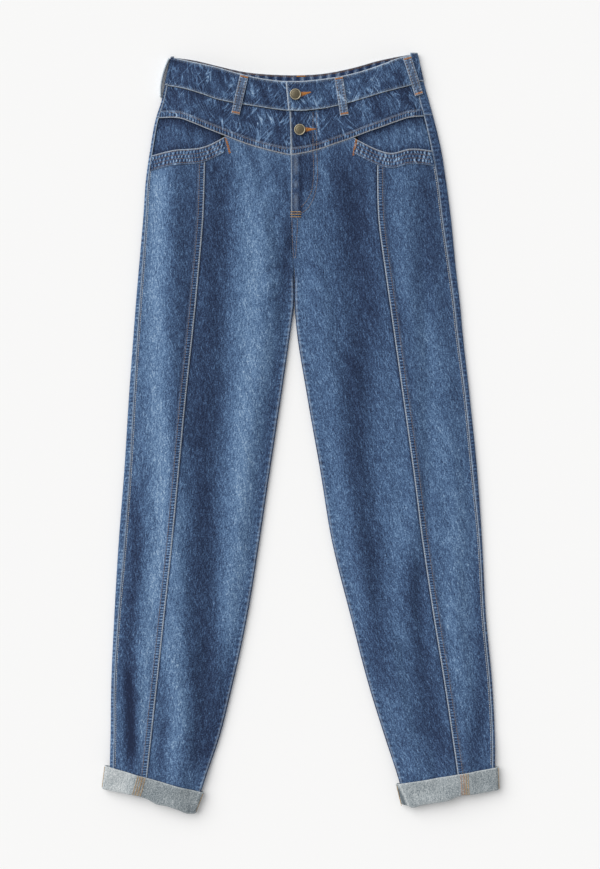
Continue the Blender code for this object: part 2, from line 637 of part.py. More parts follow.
def waistband_back(finish, collection):
    """The back waistband in one piece, round both sides to the side seams."""
    shares = np.array([0, 0.35, 0.7, 1.0])
    halves = []
    for leg in (RIGHT, LEFT):
        under, over = wrap_columns(BAND_PROUD)
        grow = BAND_PROUD / 2
        outer_y = float(back_top(leg.outer(500))) - WAISTBAND_DEPTH * (1 - shares)
        outer_x = leg.outer(outer_y)[:, None] + leg.side * grow
        x_flat = CENTRE_BACK_X + (outer_x - CENTRE_BACK_X) * np.array(BACK_COLUMNS)
        low_x = np.concatenate([x_flat, outer_x - leg.side * under], axis=1)
        inset = leg.side * (leg.outer(outer_y) - leg.side_seam(outer_y))[:, None] + grow - SEAM_GAP / 2
        high_x = np.concatenate([outer_x - leg.side * over, outer_x - leg.side * inset], axis=1)
        low_y = back_top(low_x) - WAISTBAND_DEPTH * (1 - shares[:, None])
        high_y = np.repeat(outer_y[:, None], high_x.shape[1], axis=1)
        low = with_height(low_x, low_y, back_z(leg, low_x, low_y, BAND_PROUD))
        high = with_height(high_x, high_y, front_z(leg, high_x, high_y, BAND_PROUD))
        halves.append(np.concatenate([low, high], axis=1))
    middle_y = back_top(CENTRE_BACK_X) - WAISTBAND_DEPTH * (1 - shares)
    middle = with_height(np.full(len(shares), CENTRE_BACK_X), middle_y, 0 * shares)[:, None, :]
    points = np.concatenate([halves[0][:, ::-1], middle, halves[1]], axis=1)
    return cloth("waistband_back", points, BAND, False, finish, collection)


def cuff_ring(leg, down, inset):
    """One closed ring round the cuff, at a distance down from its top edge and in from its outside."""
    (tx0, ty0), (tx1, ty1) = leg.cuff["top"]
    (bx0, by0), (bx1, by1) = leg.cuff["bottom"]
    length = math.hypot(bx0 - tx0, by0 - ty0)
    share = down / length
    outer = np.array([tx0 + (bx0 - tx0) * share, ty0 + (by0 - ty0) * share])
    inner = np.array([tx1 + (bx1 - tx1) * share, ty1 + (by1 - ty1) * share])
    width = np.linalg.norm(inner - outer)
    along = (inner - outer) / width
    radius = CUFF_ROUND - inset
    angles = [math.radians(a) for a in (0, 30, 60, 90)]
    end = [inset + radius * (1 - math.cos(a)) for a in angles]
    far_end = [width - e for e in end]
    top_reach = end + [width * s for s in CUFF_COLUMNS] + far_end[::-1]
    low_reach = far_end[1:] + [width * s for s in (0.75, 0.5, 0.25)] + end[:0:-1]
    points = []
    for reach, over in [(r, True) for r in top_reach] + [(r, False) for r in low_reach]:
        x, y = outer + along * reach
        side = min(reach, width - reach) - inset
        arc = math.sqrt(max(radius**2 - (radius - min(side, radius)) ** 2, 0))
        if over:
            z = CUFF_ROUND + arc + float(bulge(leg, x, y)) + FELL_HEIGHT * ease((side - CUFF_ROUND) / 8)
        else:
            z = CUFF_ROUND - arc
        points.append((x, y, z))
    return np.array(points)


def cuff(leg, finish, collection):
    """The rolled cuff: a thick wall round the leg whose lower edge turns in over the leg's hem."""
    (tx0, ty0), _ = leg.cuff["top"]
    (bx0, by0), _ = leg.cuff["bottom"]
    depth = math.hypot(bx0 - tx0, by0 - ty0)
    top_edge = [(0.3, CUFF_CLOTH), (0.0, 0.9), (0.8, 0.0)]
    lower_roll = [(depth - 2.2, 0.0), (depth - 0.7, 0.7), (depth, 2.0)]
    lip = [(depth - 0.4, CUFF_LIP), (depth - 2.0, CUFF_LIP), (depth - 2.4, CUFF_CLOTH)]
    section = top_edge + [(depth * 0.5, 0.0)] + lower_roll + lip
    rings = [cuff_ring(leg, down, inset) for down, inset in section]
    bm = bmesh.new()
    loops = [[bm.verts.new(metres(p)) for p in ring] for ring in rings]
    count = len(loops[0])
    for a, b in zip(loops, loops[1:] + loops[:1]):
        for k in range(count):
            bm.faces.new((a[k], a[(k + 1) % count], b[(k + 1) % count], b[k]))
    bmesh.ops.recalc_face_normals(bm, faces=bm.faces)
    return add_object(f"cuff_{leg.name}", bm, finish, collection)


def strip_points(line, width_way, width):
    """Three columns across a strip that follows a line of points."""
    half = np.asarray(width_way, float) * width / 2
    return np.stack([line - half, line, line + half], axis=1)


def belt_loop(name, ends, finish, collection):
    """A flat loop over the waistband, sewn down at both ends."""
    (x0, y0), (x1, y1) = ends
    leg = LEFT if x0 > 0 else RIGHT
    t = np.array(LOOP_SHARES)
    centre = np.stack([x0 + (x1 - x0) * t, y0 + (y1 - y0) * t], axis=1)
    way = np.array([y0 - y1, x1 - x0]) / math.hypot(x1 - x0, y1 - y0)
    columns = []
    for shift in (-LOOP_WIDTH / 2, 0, LOOP_WIDTH / 2):
        x, y = (centre + way * shift).T
        on_band = ease((y - through(WAIST_SEAM, x) + 3.5) / 3)
        z = front_z(leg, x, y, BAND_PROUD) - BAND_PROUD * (1 - on_band)
        bow = LOOP_BOW * np.sin(np.pi * t) ** 2
        columns.append(with_height(x, y, z + SEAM_GAP + LOOP_CLOTH + bow))
    points = np.stack(columns, axis=1)
    points[:, :, 2] = points[:, :, 2].max(axis=1, keepdims=True) * 0.5 + points[:, :, 2] * 0.5
    return cloth(name, points, LOOP_CLOTH, True, finish, collection)


def side_belt_loop(finish, collection):
    """The loop on the right side fold. It stands on edge and bows out from the waistband."""
    top_y, low_y = SIDE_LOOP_ENDS
    t = np.array(SIDE_LOOP_SHARES)
    y = top_y + (low_y - top_y) * t
    close = BAND_PROUD / 2 + SEAM_GAP + LOOP_CLOTH
    x = RIGHT.outer(y) - close - SIDE_LOOP_BOW * np.sin(np.pi * t) ** 0.8
    line = with_height(x, y, SIDE_LOOP_WIDTH / 2 + 0.3)
    points = strip_points(line, (0, 0, 1), SIDE_LOOP_WIDTH)
    made = cloth("belt_loop_side_right", points, LOOP_CLOTH, True, finish, collection)
    mesh = made.data
    if mesh.polygons[0].normal.x > 0:
        mesh.flip_normals()
    return made


def button(name, place, finish, collection):
    """A shank button: a domed cap with a rolled rim on a short neck, turned about its own axis."""
    x, y = place
    proud = BAND_PROUD if name == "button_waistband" else 0.0
    ground = front_z(LEFT, x, y, proud) + BUTTON_GROUND[name]
    bm = bmesh.new()
    points = [bm.verts.new((share * BUTTON_RADIUS * MM, 0, up * MM)) for share, up in BUTTON_PROFILE]
    for a, b in zip(points, points[1:]):
        bm.edges.new((a, b))
    made = add_object(name, bm, finish, collection)
    turn = made.modifiers.new("turned", "SCREW")
    turn.steps = turn.render_steps = BUTTON_STEPS
    turn.use_merge_vertices = True
    turn.merge_threshold = 1e-6
    made.location = metres((x, y, float(ground) + SEAM_GAP))
    return made


def build():
    for old in list(bpy.data.objects):
        bpy.data.objects.remove(old)
    collection = bpy.data.collections.new("mom_jeans")
    bpy.context.scene.collection.children.link(collection)
    denim = material("washed_denim", DENIM_BLUE, 0.85)
    faded = material("faded_denim", FADED_BLUE, 0.85)
    inside = material("denim_wrong_side", INSIDE_GREY, 0.9)
    brass = material("antique_brass", BRASS, 0.4, 0.9)
    for leg in (RIGHT, LEFT):
        cloth(f"front_centre_{leg.name}", centre_grid(leg), DENIM, True, denim, collection)
        cloth(f"front_side_{leg.name}", side_grid(leg), DENIM, True, denim, collection)
        front_yoke(leg, denim, collection)
        pocket_facing(leg, denim, collection)
        pocket_band(leg, faded, collection)
        waistband_front(leg, denim, collection)
        back_panel(leg, denim, collection)
        back_yoke(leg, denim, collection)
        cuff(leg, inside, collection)
    waistband_back(denim, collection)
    for name, ends in LOOPS.items():
        belt_loop(name, ends, faded, collection)
    side_belt_loop(faded, collection)
    for name, place in BUTTONS.items():
        button(name, place, brass, collection)


build()
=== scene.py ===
import math

import bpy
import numpy as np
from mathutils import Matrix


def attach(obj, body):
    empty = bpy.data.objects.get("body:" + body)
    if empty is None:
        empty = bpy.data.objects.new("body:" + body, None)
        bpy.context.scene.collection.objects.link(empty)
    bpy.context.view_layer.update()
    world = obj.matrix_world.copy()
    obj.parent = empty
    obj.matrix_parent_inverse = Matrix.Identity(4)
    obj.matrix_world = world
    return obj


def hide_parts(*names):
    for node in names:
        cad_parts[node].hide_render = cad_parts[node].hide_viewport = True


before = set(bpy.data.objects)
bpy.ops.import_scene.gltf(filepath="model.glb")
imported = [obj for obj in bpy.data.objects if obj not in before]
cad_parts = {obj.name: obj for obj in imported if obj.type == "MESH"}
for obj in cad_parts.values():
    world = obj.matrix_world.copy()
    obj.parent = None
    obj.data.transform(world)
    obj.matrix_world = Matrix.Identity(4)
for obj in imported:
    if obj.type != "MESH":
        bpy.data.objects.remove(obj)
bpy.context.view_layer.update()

# Mom jeans laid flat on their back. Every place is in millimetres on the garment until a mesh is made.
# Left and right are the wearer's: the wearer's left leg lies at +X, and the waist points to +Y.
garment = {
    "centre": (0.83, 1.28, 0.0),  # the middle of the whole garment on the floor
    "crotchY": 225.0,
    "crotchGape": 0.5,
    "centreBackX": -8.5,
    "bandDepth": 39.0,
    "backYokeCentreY": 392.0,
    "flyEndY": 300.0,
    "legEnd": 3.0,  # the leg's cloth stops this far above the cuff's lower edge
}
wall = {"denim": 1.2, "band": 2.7, "facing": 1.1, "pocketBand": 1.0, "loop": 1.8, "cuff": 2.6}
seam = {"gap": 0.3, "waistGap": 0.7, "fellWidth": 9.0, "fellHeight": 0.8}
fold = {"radius": 3.2, "outerRise": 26.0, "innerRise": 22.0, "leastRise": 0.4, "bandProud": 1.5}
rightOutline = (  # height, outer edge, side seam's distance in from it, panel seam, inner edge
    (522, -176, 4.2, -129, -8.5), (480, -185.5, 4.2, -129, -8.5), (455, -191, 4.2, -129, -8.5),
    (435, -197.5, 4.2, -129, -8.5), (390, -206, 4.2, -129.2, -8.5), (350, -211.7, 4.2, -130.2, -8.5),
    (300, -215.2, 4.8, -131.9, -8.5), (225, -221.7, 6.2, -138.1, -8.5), (170, -226.3, 6.7, -143.2, -8.9),
    (150, -227.8, 6.9, -145.2, -11.6), (50, -235.2, 8.2, -155.8, -25.9), (-50, -241.5, 8.9, -165.1, -41),
    (-150, -249.3, 9.6, -174.5, -55.9), (-250, -255.2, 6.9, -185.4, -72.1),
    (-350, -259.6, 5.5, -196.3, -93.6), (-420, -260.4, 6.2, -203.9, -111.4),
    (-470, -261.4, 6.2, -209.2, -128.5), (-522, -262, 6.2, -215.5, -146),
)
leftOutline = (
    (522, 161, 9.6, 106, -7.5), (480, 170.8, 11.6, 106, -7.5), (455, 177.7, 13, 106, -7.5),
    (435, 183.2, 13, 106, -7.5), (390, 193.9, 13.4, 105.8, -7.5), (350, 200.3, 12.5, 105.4, -7.5),
    (300, 206.9, 13, 106.7, -7.5), (225, 214.4, 9.9, 116, -7.5), (170, 220.7, 8.9, 123.9, -7.1),
    (150, 222.4, 8.6, 126.7, -5.5), (50, 233.3, 7, 140.7, 9.9), (-50, 243.4, 7.4, 154.7, 27.5),
    (-150, 250.3, 4.6, 167.8, 44.2), (-250, 255.5, 4.4, 182.6, 69.2), (-350, 264.5, 4.4, 198.8, 95.5),
    (-420, 267.8, 4.4, 209.1, 117.4), (-470, 267.4, 4.4, 216, 133.8), (-522, 265.4, 4.4, 222, 148.5),
)
# Edges and seams that run across, as (x, y) points
frontTop = (
    (-190, 520), (-177, 517), (-147, 509), (-113, 501), (-81, 492), (-57, 486.5), (-22, 482), (0, 481.5),
    (32, 485), (52, 488), (80, 494.5), (109, 504), (138, 515.5), (153, 520), (165, 523),
)
waistSeam = (
    (-200, 480), (-186, 478), (-165, 474), (-136, 465), (-113, 457), (-95, 453), (-57, 447), (-22, 442),
    (3, 441), (32, 444.5), (52, 448.5), (80, 456), (109, 465), (148, 476), (160, 480), (180, 484),
)
yokeSeam = (
    (-205, 433), (-195, 433), (-179, 433), (-165, 431.5), (-147, 425), (-125, 416), (-102, 407),
    (-79, 398), (-57, 391), (-34, 385), (-12, 381), (4, 383), (32, 390.5), (52, 397.5), (71, 404),
    (90, 411.5), (110, 418.5), (128, 425), (148, 432), (167, 435), (190, 437.5),
)
backTop = (
    (-190, 519), (-177, 517), (-147, 513), (-113, 505), (-80, 497.5), (-34, 493), (0, 492.5), (32, 494.5),
    (71, 502), (109, 512.5), (138, 518.5), (161, 522), (175, 523.5),
)
rightPocketEdge = (
    (-210, 380.5), (-203, 382), (-185, 386), (-167, 388.5), (-150, 389.5), (-137, 391), (-127, 394),
    (-115, 399.5), (-103, 406), (-98, 409),
)
leftPocketEdge = (
    (70, 407), (74, 404.5), (88, 397), (98, 392), (106, 388.5), (117, 385), (126, 384), (136, 386),
    (146, 389), (160, 390), (178, 388.5), (185, 388),
)
# The fly's edge and the waistband's end as (y, x) points, and the loft as (y, height)
flyEdge = (
    (225, -8), (250, -11.5), (300, -12.2), (380, -12.6), (440, -14.4), (482, -17),
)
bandEnd = (
    (435, -16), (440, -16.2), (482, -19.6), (490, -20.2),
)
loft = (
    (-522, 2.6), (-440, 3.6), (-300, 6), (0, 6.6), (225, 7.6), (350, 9.6), (440, 10.2), (522, 9),
)

# The largest folds: height, half width, upper end, lower end, line as (y, x) points
folds = (
    (6, 21, 420, -560, ((380, -181), (225, -178), (120, -176), (-22, -173), (-297, -167), (-420, -160))),
    (-4, 18, 400, -470, ((347, -104), (45, -104), (-92, -115), (-228, -116), (-297, -124),
     (-365, -131))),
    (3.6, 17, 340, -240, ((291, -52), (182, -44), (45, -60), (-22, -69), (-92, -74), (-228, -80))),
    (-2.6, 8, -230, -500, ((-250, -232), (-420, -236), (-480, -238))),
    (2.4, 11, -280, -560, ((-300, -222), (-420, -226), (-500, -228))),
    (4.2, 17, 300, -300, ((250, 14), (182, 26), (114, 36), (45, 46), (-92, 65), (-160, 76), (-228, 92))),
    (-4, 17, 380, -260, ((347, 76), (182, 83), (114, 92), (45, 96), (-92, 103), (-228, 112))),
    (3.4, 15, 390, -300, ((347, 140), (182, 150), (45, 153), (-92, 156), (-228, 146))),
    (-2.4, 9, 340, -500, ((300, 168), (45, 176), (-92, 176), (-228, 165), (-365, 176), (-440, 188))),
    (3, 13, 120, -500, ((50, 206), (-92, 216), (-297, 218), (-440, 230))),
    (3.2, 14, -240, -520, ((-260, 118), (-365, 134), (-440, 150))),
)

# Smaller creases, uneven as on worn cloth: height, half width, (x, y) at one end, bend, (x, y) at the other
creases = (
    (-0.9, 3.5, (-20, 372), 3, (-62, 330)), (0.8, 4, (-18, 352), 4, (-58, 300)),
    (-0.8, 3, (-17, 318), 3, (-48, 270)), (0.7, 4.5, (-14, 290), -3, (-34, 246)),
    (-1.1, 4, (-12, 232), 4, (-58, 212)), (0.9, 4.5, (-12, 216), 3, (-66, 188)),
    (-0.8, 3.5, (-14, 200), 2, (-50, 170)), (-0.9, 4, (-4, 236), -4, (40, 214)),
    (0.9, 4.5, (-2, 214), -3, (50, 182)), (-0.7, 3.5, (2, 190), -2, (38, 160)),
    (0.8, 4, (24, 376), -4, (44, 318)), (-0.8, 4, (44, 380), 3, (58, 322)),
    (0.6, 4, (62, 376), 3, (92, 330)), (-0.7, 4, (-70, 372), -4, (-96, 318)),
    (0.7, 4, (-96, 372), 3, (-120, 324)), (-0.6, 3.5, (-136, 352), 3, (-160, 318)),
    (-0.7, 3.5, (130, 352), 4, (156, 316)), (0.6, 3.5, (148, 356), 3, (176, 330)),
    (-0.6, 4, (60, 120), 3, (86, 70)), (0.5, 4, (74, 60), 3, (104, 6)),
    (-0.6, 4, (96, -10), 3, (128, -62)), (0.5, 4.5, (-60, 100), 3, (-92, 58)),
    (-0.6, 4, (-86, 20), 3, (-104, -30)), (0.6, 5, (-98, -60), -4, (-78, -118)),
    (-0.7, 5, (-196, -40), 3, (-222, -96)), (0.6, 5, (-200, -130), -3, (-226, -188)),
    (-0.8, 5, (-120, -240), 4, (-158, -262)), (0.7, 5, (-118, -268), 3, (-152, -300)),
    (-0.7, 4.5, (-128, -330), 4, (-168, -352)), (-0.8, 5, (-206, -352), 3, (-236, -386)),
    (0.8, 5, (-150, -392), -4, (-186, -432)), (-0.8, 4.5, (-170, -380), 3, (-198, -440)),
    (-0.7, 5, (130, -214), -4, (168, -246)), (0.7, 5, (120, -268), -3, (158, -292)),
    (-0.8, 4.5, (142, -322), -4, (184, -350)), (0.7, 5, (196, -300), 3, (228, -338)),
    (-0.8, 5, (150, -386), 4, (190, -420)), (0.8, 4.5, (196, -380), 3, (226, -428)),
    (-0.7, 4, (206, -240), 3, (236, -270)), (-0.7, 4.5, (186, 60), 3, (210, 10)),
    (0.6, 4.5, (188, 20), 3, (216, -34)), (-0.6, 3.5, (-40, 474), 2, (-64, 456)),
    (0.5, 3, (-66, 478), -2, (-50, 452)), (-0.6, 3, (-104, 492), 3, (-130, 470)),
    (0.5, 3, (-132, 496), -2, (-112, 468)), (-0.6, 3, (78, 488), -3, (104, 468)),
    (0.5, 3, (106, 494), 2, (84, 462)), (-0.6, 3, (118, 502), -2, (140, 480)),
    (-0.6, 3, (-62, 438), 3, (-92, 412)), (0.5, 3, (-96, 442), -2, (-72, 410)),
    (-0.6, 3, (-122, 448), 3, (-150, 430)), (-0.6, 3, (66, 444), -3, (94, 420)),
    (0.5, 3, (100, 452), 2, (78, 418)), (-0.6, 3, (116, 456), -3, (142, 438)),
    (0.5, 3.5, (20, 436), 2, (36, 402)), (-0.5, 3, (-26, 434), -2, (-40, 398)),
)

# Where the cloth is paler (above 0) or darker: partly the wash's fading, partly painted highlight on the folds'
# lit slopes and painted shade in their valleys and beside the fold edges. Amount, half width, its line as (y, x)
# points
fadeAndShadeBands = (
    (0.62, 15, ((368, -195), (265, -197), (142, -199), (46, -195), (-23, -190), (-91, -189),
     (-160, -192), (-228, -203), (-283, -207), (-365, -211), (-445, -214))),
    (-0.85, 12, ((-77, -229), (-173, -225), (-228, -232), (-283, -234), (-365, -232), (-450, -229))),
    (-0.42, 19, ((388, -162), (320, -159), (238, -162), (142, -164), (46, -167), (-9, -170))),
    (0.26, 13, ((120, -170), (60, -172), (0, -174))),
    (-1.15, 7, ((-330, -236), (-400, -232), (-450, -231))), (-0.4, 14, ((375, 88), (320, 88), (265, 88))),
    (0.25, 8, ((130, -38), (100, -41), (60, -46))),
    (-0.22, 9, ((-230, -206), (-300, -208), (-340, -209))),
    (-0.25, 9, ((-370, -166), (-410, -166), (-440, -167))),
    (-0.85, 26, ((375, -107), (320, -107), (251, -118), (183, -121), (114, -126), (46, -130),
     (-23, -132), (-91, -133), (-160, -134), (-228, -133), (-297, -132), (-365, -127), (-458, -137))),
    (0.52, 23, ((375, -82), (320, -78), (251, -66), (183, -67), (114, -66), (46, -74), (-23, -78),
     (-91, -81), (-160, -85), (-228, -95), (-297, -96))),
    (-0.42, 10, ((286, -15), (251, -18), (197, -21), (142, -26), (46, -36), (-23, -44), (-91, -51),
     (-160, -59), (-228, -73), (-297, -88), (-365, -101), (-447, -126))),
    (0.55, 15, ((-91, -164), (-160, -169), (-228, -169), (-283, -173), (-365, -166), (-461, -170))),
    (-0.45, 11, ((-338, -189), (-393, -189), (-468, -192))),
    (-0.35, 5, ((388, -68), (364, -62), (334, -52))), (-0.35, 5, ((382, -38), (354, -34), (320, -29))),
    (-0.4, 5, ((375, -22), (334, -19), (299, -16))), (0.3, 5, ((391, 30), (354, 33), (313, 34))),
    (0.15, 15, ((299, 16), (238, 22), (155, 30), (73, 38), (-9, 44), (-91, 49), (-173, 68), (-228, 77),
     (-283, 85), (-365, 110))),
    (-0.62, 21, ((375, 66), (320, 68), (265, 78), (210, 90), (155, 90), (73, 78), (-9, 77), (-91, 84),
     (-173, 97), (-228, 101), (-283, 105), (-365, 118))), (0.28, 8, ((377, 93), (334, 96), (279, 100))),
    (0.12, 14, ((101, 118), (18, 123), (-64, 129), (-146, 137), (-228, 127), (-297, 132), (-365, 144),
     (-447, 153))), (0.3, 9, ((-330, 112), (-386, 122), (-440, 133))),
    (-0.35, 9, ((290, -15), (251, -18), (205, -21))),
    (-0.62, 18, ((-173, 153), (-228, 159), (-283, 167), (-365, 181), (-454, 199))),
    (0.34, 15, ((368, 138), (292, 140), (238, 142), (183, 142))),
    (-0.4, 16, ((368, 170), (292, 174), (210, 178))),
    (0.26, 25, ((183, 164), (101, 175), (18, 186), (-64, 206), (-146, 216), (-228, 218), (-297, 221),
     (-365, 227), (-406, 230))), (0.1, 10, ((128, 215), (73, 222), (5, 227))),
    (-0.5, 11, ((-173, 249), (-256, 249), (-338, 251), (-406, 244), (-454, 238))),
)

# The left leg as a whole is washed less: (y, amount)
leftDepth = (
    (-520, -0.2), (-350, -0.18), (-250, -0.06), (-100, -0.08), (50, -0.2), (225, -0.32), (400, -0.3),
)

rightLeg = {
    "name": "right", "side": -1, "outline": rightOutline, "pocketEdge": rightPocketEdge, "pocketTip": -103.0,
    "backYokeY": 434.0,
    # the cuff's upper and lower edge, each from the outer to the inner end
    "cuff": {"top": ((-268.5, -455.0), (-131.5, -492.5)), "bottom": ((-272.5, -487.0), (-142.5, -520.5))},
    # along the cuff, as a share from the outer to the inner end: the lower edge's wave in mm, and how much paler
    # or darker the cloth is
    "cuffWave": (
        (0, 0), (0.14, 0.8), (0.32, 2.7), (0.40, 3.3), (0.48, 2.8), (0.58, -1.0), (0.69, 0), (0.81, -1.2),
        (0.90, -3.4), (1, -1),
    ),
    "cuffTone": ((0, 0.5), (0.26, 0.45), (0.38, -0.6), (0.7, -0.9), (1, -0.8)),
    "overlock": {"at": (0.380, 0.372), "width": (10.0, 11.5)},
}
leftLeg = {
    "name": "left", "side": 1, "outline": leftOutline, "pocketEdge": leftPocketEdge, "pocketTip": 74.0,
    "backYokeY": 437.0,
    "cuff": {"top": ((272.5, -457.0), (131.5, -481.0)), "bottom": ((274.0, -488.5), (138.5, -512.0))},
    "cuffWave": (
        (0, 0), (0.2, 0), (0.32, 0.5), (0.42, 1.2), (0.53, -2.4), (0.66, -2.3), (0.79, -2.2), (0.885, -3.6),
        (0.96, 2.0), (1, 3.0),
    ),
    "cuffTone": ((0, -0.7), (0.26, -0.6), (0.40, -0.4), (0.7, -0.3), (1, -0.5)),
    "overlock": {"at": (0.34, 0.35), "width": (10.0, 10.0)},
}
legs = (rightLeg, leftLeg)


def through(points, at):
    # a cubic through (place, value) points whose slopes are the table's own gradient
    places, values = np.array(sorted(points), float).T
    slopes = np.gradient(values, places)
    at = np.clip(np.asarray(at, float), places[0], places[-1])
    i = np.clip(np.searchsorted(places, at) - 1, 0, len(places) - 2)
    span = places[i + 1] - places[i]
    t = (at - places[i]) / span
    start = (1 + 2 * t) * (1 - t) ** 2 * values[i] + t * (1 - t) ** 2 * span * slopes[i]
    return start + t * t * (3 - 2 * t) * values[i + 1] + t * t * (t - 1) * span * slopes[i + 1]


def ease(t):
    # 0 before 0, 1 after 1, and 3t^2 - 2t^3 between
    t = np.clip(t, 0, 1)
    return t * t * (3 - 2 * t)


def hump(distance, width):
    # 1 at distance 0, falling as a bell to both sides
    return np.exp(-((distance / width) ** 2))


def outlineCurve(leg, column, y):
    # one column of the leg's outline at height y
    return through([(row[0], row[column]) for row in leg["outline"]], y)


def outerEdge(leg, y):
    # x of the side fold
    return outlineCurve(leg, 1, y)


def sideSeam(leg, y):
    # x of the side seam, which lies on the front, in from the side fold
    return outerEdge(leg, y) - leg["side"] * outlineCurve(leg, 2, y)


def panelSeam(leg, y):
    # x of the seam between the front's centre and side panels
    return outlineCurve(leg, 3, y)


def innerEdge(leg, y):
    # x of the inseam's fold, which ends at the crotch
    return outlineCurve(leg, 4, np.minimum(y, garment["crotchY"]))


def cuffLine(leg, edge, x):
    # y of the cuff's straight "top" or "bottom" edge at x
    (x0, y0), (x1, y1) = leg["cuff"][edge]
    return y0 + (y1 - y0) * (x - x0) / (x1 - x0)


def foldHeight(x, y):
    # the sum of bell-shaped ridges and troughs, each fading out at both ends of its line
    total = np.zeros(np.broadcast(x, y).shape)
    for height, width, upper, lower, line in folds:
        along = ease((upper - y) / 60) * ease((y - lower) / 60)
        total += height * hump(x - through(line, y), width) * along
    return total


def creaseHeight(x, y):
    # each crease is a bell across a bent line from a to b, with a sine along it
    total = np.zeros(np.broadcast(x, y).shape)
    for height, width, a, bend, b in creases:
        dx, dy = b[0] - a[0], b[1] - a[1]
        length = math.hypot(dx, dy)
        along = ((x - a[0]) * dx + (y - a[1]) * dy) / length**2
        across = ((x - a[0]) * dy - (y - a[1]) * dx) / length
        inside = np.sin(np.pi * np.clip(along, 0, 1))
        total += height * hump(across - bend * inside, width) * inside**1.5
    return total


ripples = (  # low swells of the cloth: height, wavelength across, wavelength along, phase
    (0.28, 31.0, 140.0, 0.4), (0.22, 19.0, 83.0, 2.1), (0.16, 47.0, 52.0, 4.0), (0.10, 12.0, 37.0, 1.2),
    (0.09, 9.0, 61.0, 5.3),
)


def rippleHeight(x, y):
    # a sum of slanted sine waves
    total = np.zeros(np.broadcast(x, y).shape)
    for height, across, along, phase in ripples:
        total += height * np.sin(2 * np.pi * (x / across + y / along) + phase + 1.3 * np.sin(y / 71 + phase))
    return total


def cuffLift(leg, x, y):
    # the leg rises off the floor near its cuff, where it lies on the cuff's lower layer
    above = y - cuffLine(leg, "top", x)
    return 3.0 * ease((59 - above) / 45)


def edgeDistances(leg, x, y):
    # distances in from the side fold, and from the inseam's fold or, above it, the crotch
    toOuter = leg["side"] * (outerEdge(leg, y) - x)
    inseam = leg["side"] * (x - innerEdge(leg, y))
    aboveCrotch = 0.5 * np.maximum(y - garment["crotchY"], 0)
    gape = garment["crotchGape"] * hump(y - garment["crotchY"], 12)
    toInner = np.hypot(np.hypot(np.maximum(inseam, 0), aboveCrotch), gape)
    return toOuter, toInner + np.minimum(inseam, 0)


def bulge(leg, x, y, fine=1.0):
    # the loft and all the folds, brought down to nothing at the side and inseam folds
    toOuter, toInner = edgeDistances(leg, x, y)
    outward = 1 - hump(np.maximum(toOuter - fold["radius"], 0), fold["outerRise"])
    inward = 1 - hump(np.maximum(toInner - fold["radius"], 0), fold["innerRise"])
    edge = ease((np.minimum(toOuter, toInner) - 4) / 10)
    small = fine * edge * (creaseHeight(x, y) + rippleHeight(x, y))
    return outward * inward * np.maximum(through(loft, y) + foldHeight(x, y), fold["leastRise"]) + small


def sideArc(leg, x, y, proud):
    # the fold's radius, and the height of its half circle by the distance from the edge
    radius = fold["radius"] + proud / 2
    distance = np.minimum(*edgeDistances(leg, x, y)) + proud / 2
    return radius, np.sqrt(np.maximum(radius**2 - (radius - np.minimum(distance, radius)) ** 2, 0))


def frontZ(leg, x, y, proud=0.0):
    # the front layer's outer face: the fold's upper quarter, then the bulge
    radius, arc = sideArc(leg, x, y, proud)
    return radius + arc + bulge(leg, x, y) + cuffLift(leg, x, y)


def backZ(leg, x, y, proud=0.0):
    # the back layer's outer face: the fold's lower quarter, then flat on the floor
    radius, arc = sideArc(leg, x, y, proud)
    return radius - arc + cuffLift(leg, x, y)


def flyRise(x, y):
    # the left front lies over the right front here, so it stands higher near its free edge
    past = x - through(flyEdge, y) - 10.0
    return 2.2 * (1 - ease(past / 25)) * ease((y - garment["flyEndY"] + 14) / 16)


# paler on the creases' ridges, partly rubbed pale and partly painted highlight, and darker in their troughs as
# painted shade
creaseFadeAndShade = 0.30  # how much paler a crease is, for each mm of its height


def fadeAndShadeAt(x, y):
    # bell-shaped bands along the leg, which hold both the wash's fading and painted shade and highlight, paler on
    # the creases' ridges and darker in their troughs, and the left leg's own depth
    total = np.zeros(np.broadcast(x, y).shape)
    for amount, width, line in fadeAndShadeBands:
        ends = [p[0] for p in line]
        along = ease((max(ends) + 30 - y) / 60) * ease((y - min(ends) + 30) / 60)
        total += amount * hump(x - through(line, y), width) * along
    return total + creaseFadeAndShade * creaseHeight(x, y) + through(leftDepth, y) * ease((x - 4) / 30)


def pucker(along, across, width, height=0.22, pitch=3.2):
    # short ridges across a stitched seam, uneven along it
    wave = np.sin(2 * np.pi * along / pitch + 1.7 * np.sin(along / 11.0) + 0.9 * np.sin(along / 4.3))
    return height * wave * hump(across, width)


print("garment: measures and surfaces ready")


def linear(hexColour):
    # sRGB hex to the linear colour that shaders take
    channels = [int(hexColour[i:i + 2], 16) / 255 for i in (1, 3, 5)]
    return tuple(c / 12.92 if c <= 0.04045 else ((c + 0.055) / 1.055) ** 2.4 for c in channels) + (1.0,)


def addNode(tree, kind, inputs, output=0, stops=(), **settings):
    # a node with its settings, its values, the sockets linked into it and a ramp's (place, hex) stops
    made = tree.nodes.new(kind)
    for key, value in settings.items():
        setattr(made, key, value)
    for socket, value in inputs.items():
        if isinstance(value, bpy.types.NodeSocket):
            tree.links.new(value, made.inputs[socket])
        else:
            made.inputs[socket].default_value = value
    if stops:
        elements = made.color_ramp.elements
        while len(elements) < len(stops):
            elements.new(0.5)
        for element, (place, colour) in zip(elements, stops):
            element.position = place
            element.color = linear(colour)
    return made.outputs[output]


def newMaterial(name, values):
    # a Principled material with its constants on the shader's own sockets; gives its tree and shader too
    material = bpy.data.materials.new(name)
    material.use_nodes = True
    shader = material.node_tree.nodes["Principled BSDF"]
    for socket, value in values.items():
        shader.inputs[socket].default_value = value
    return material, material.node_tree, shader


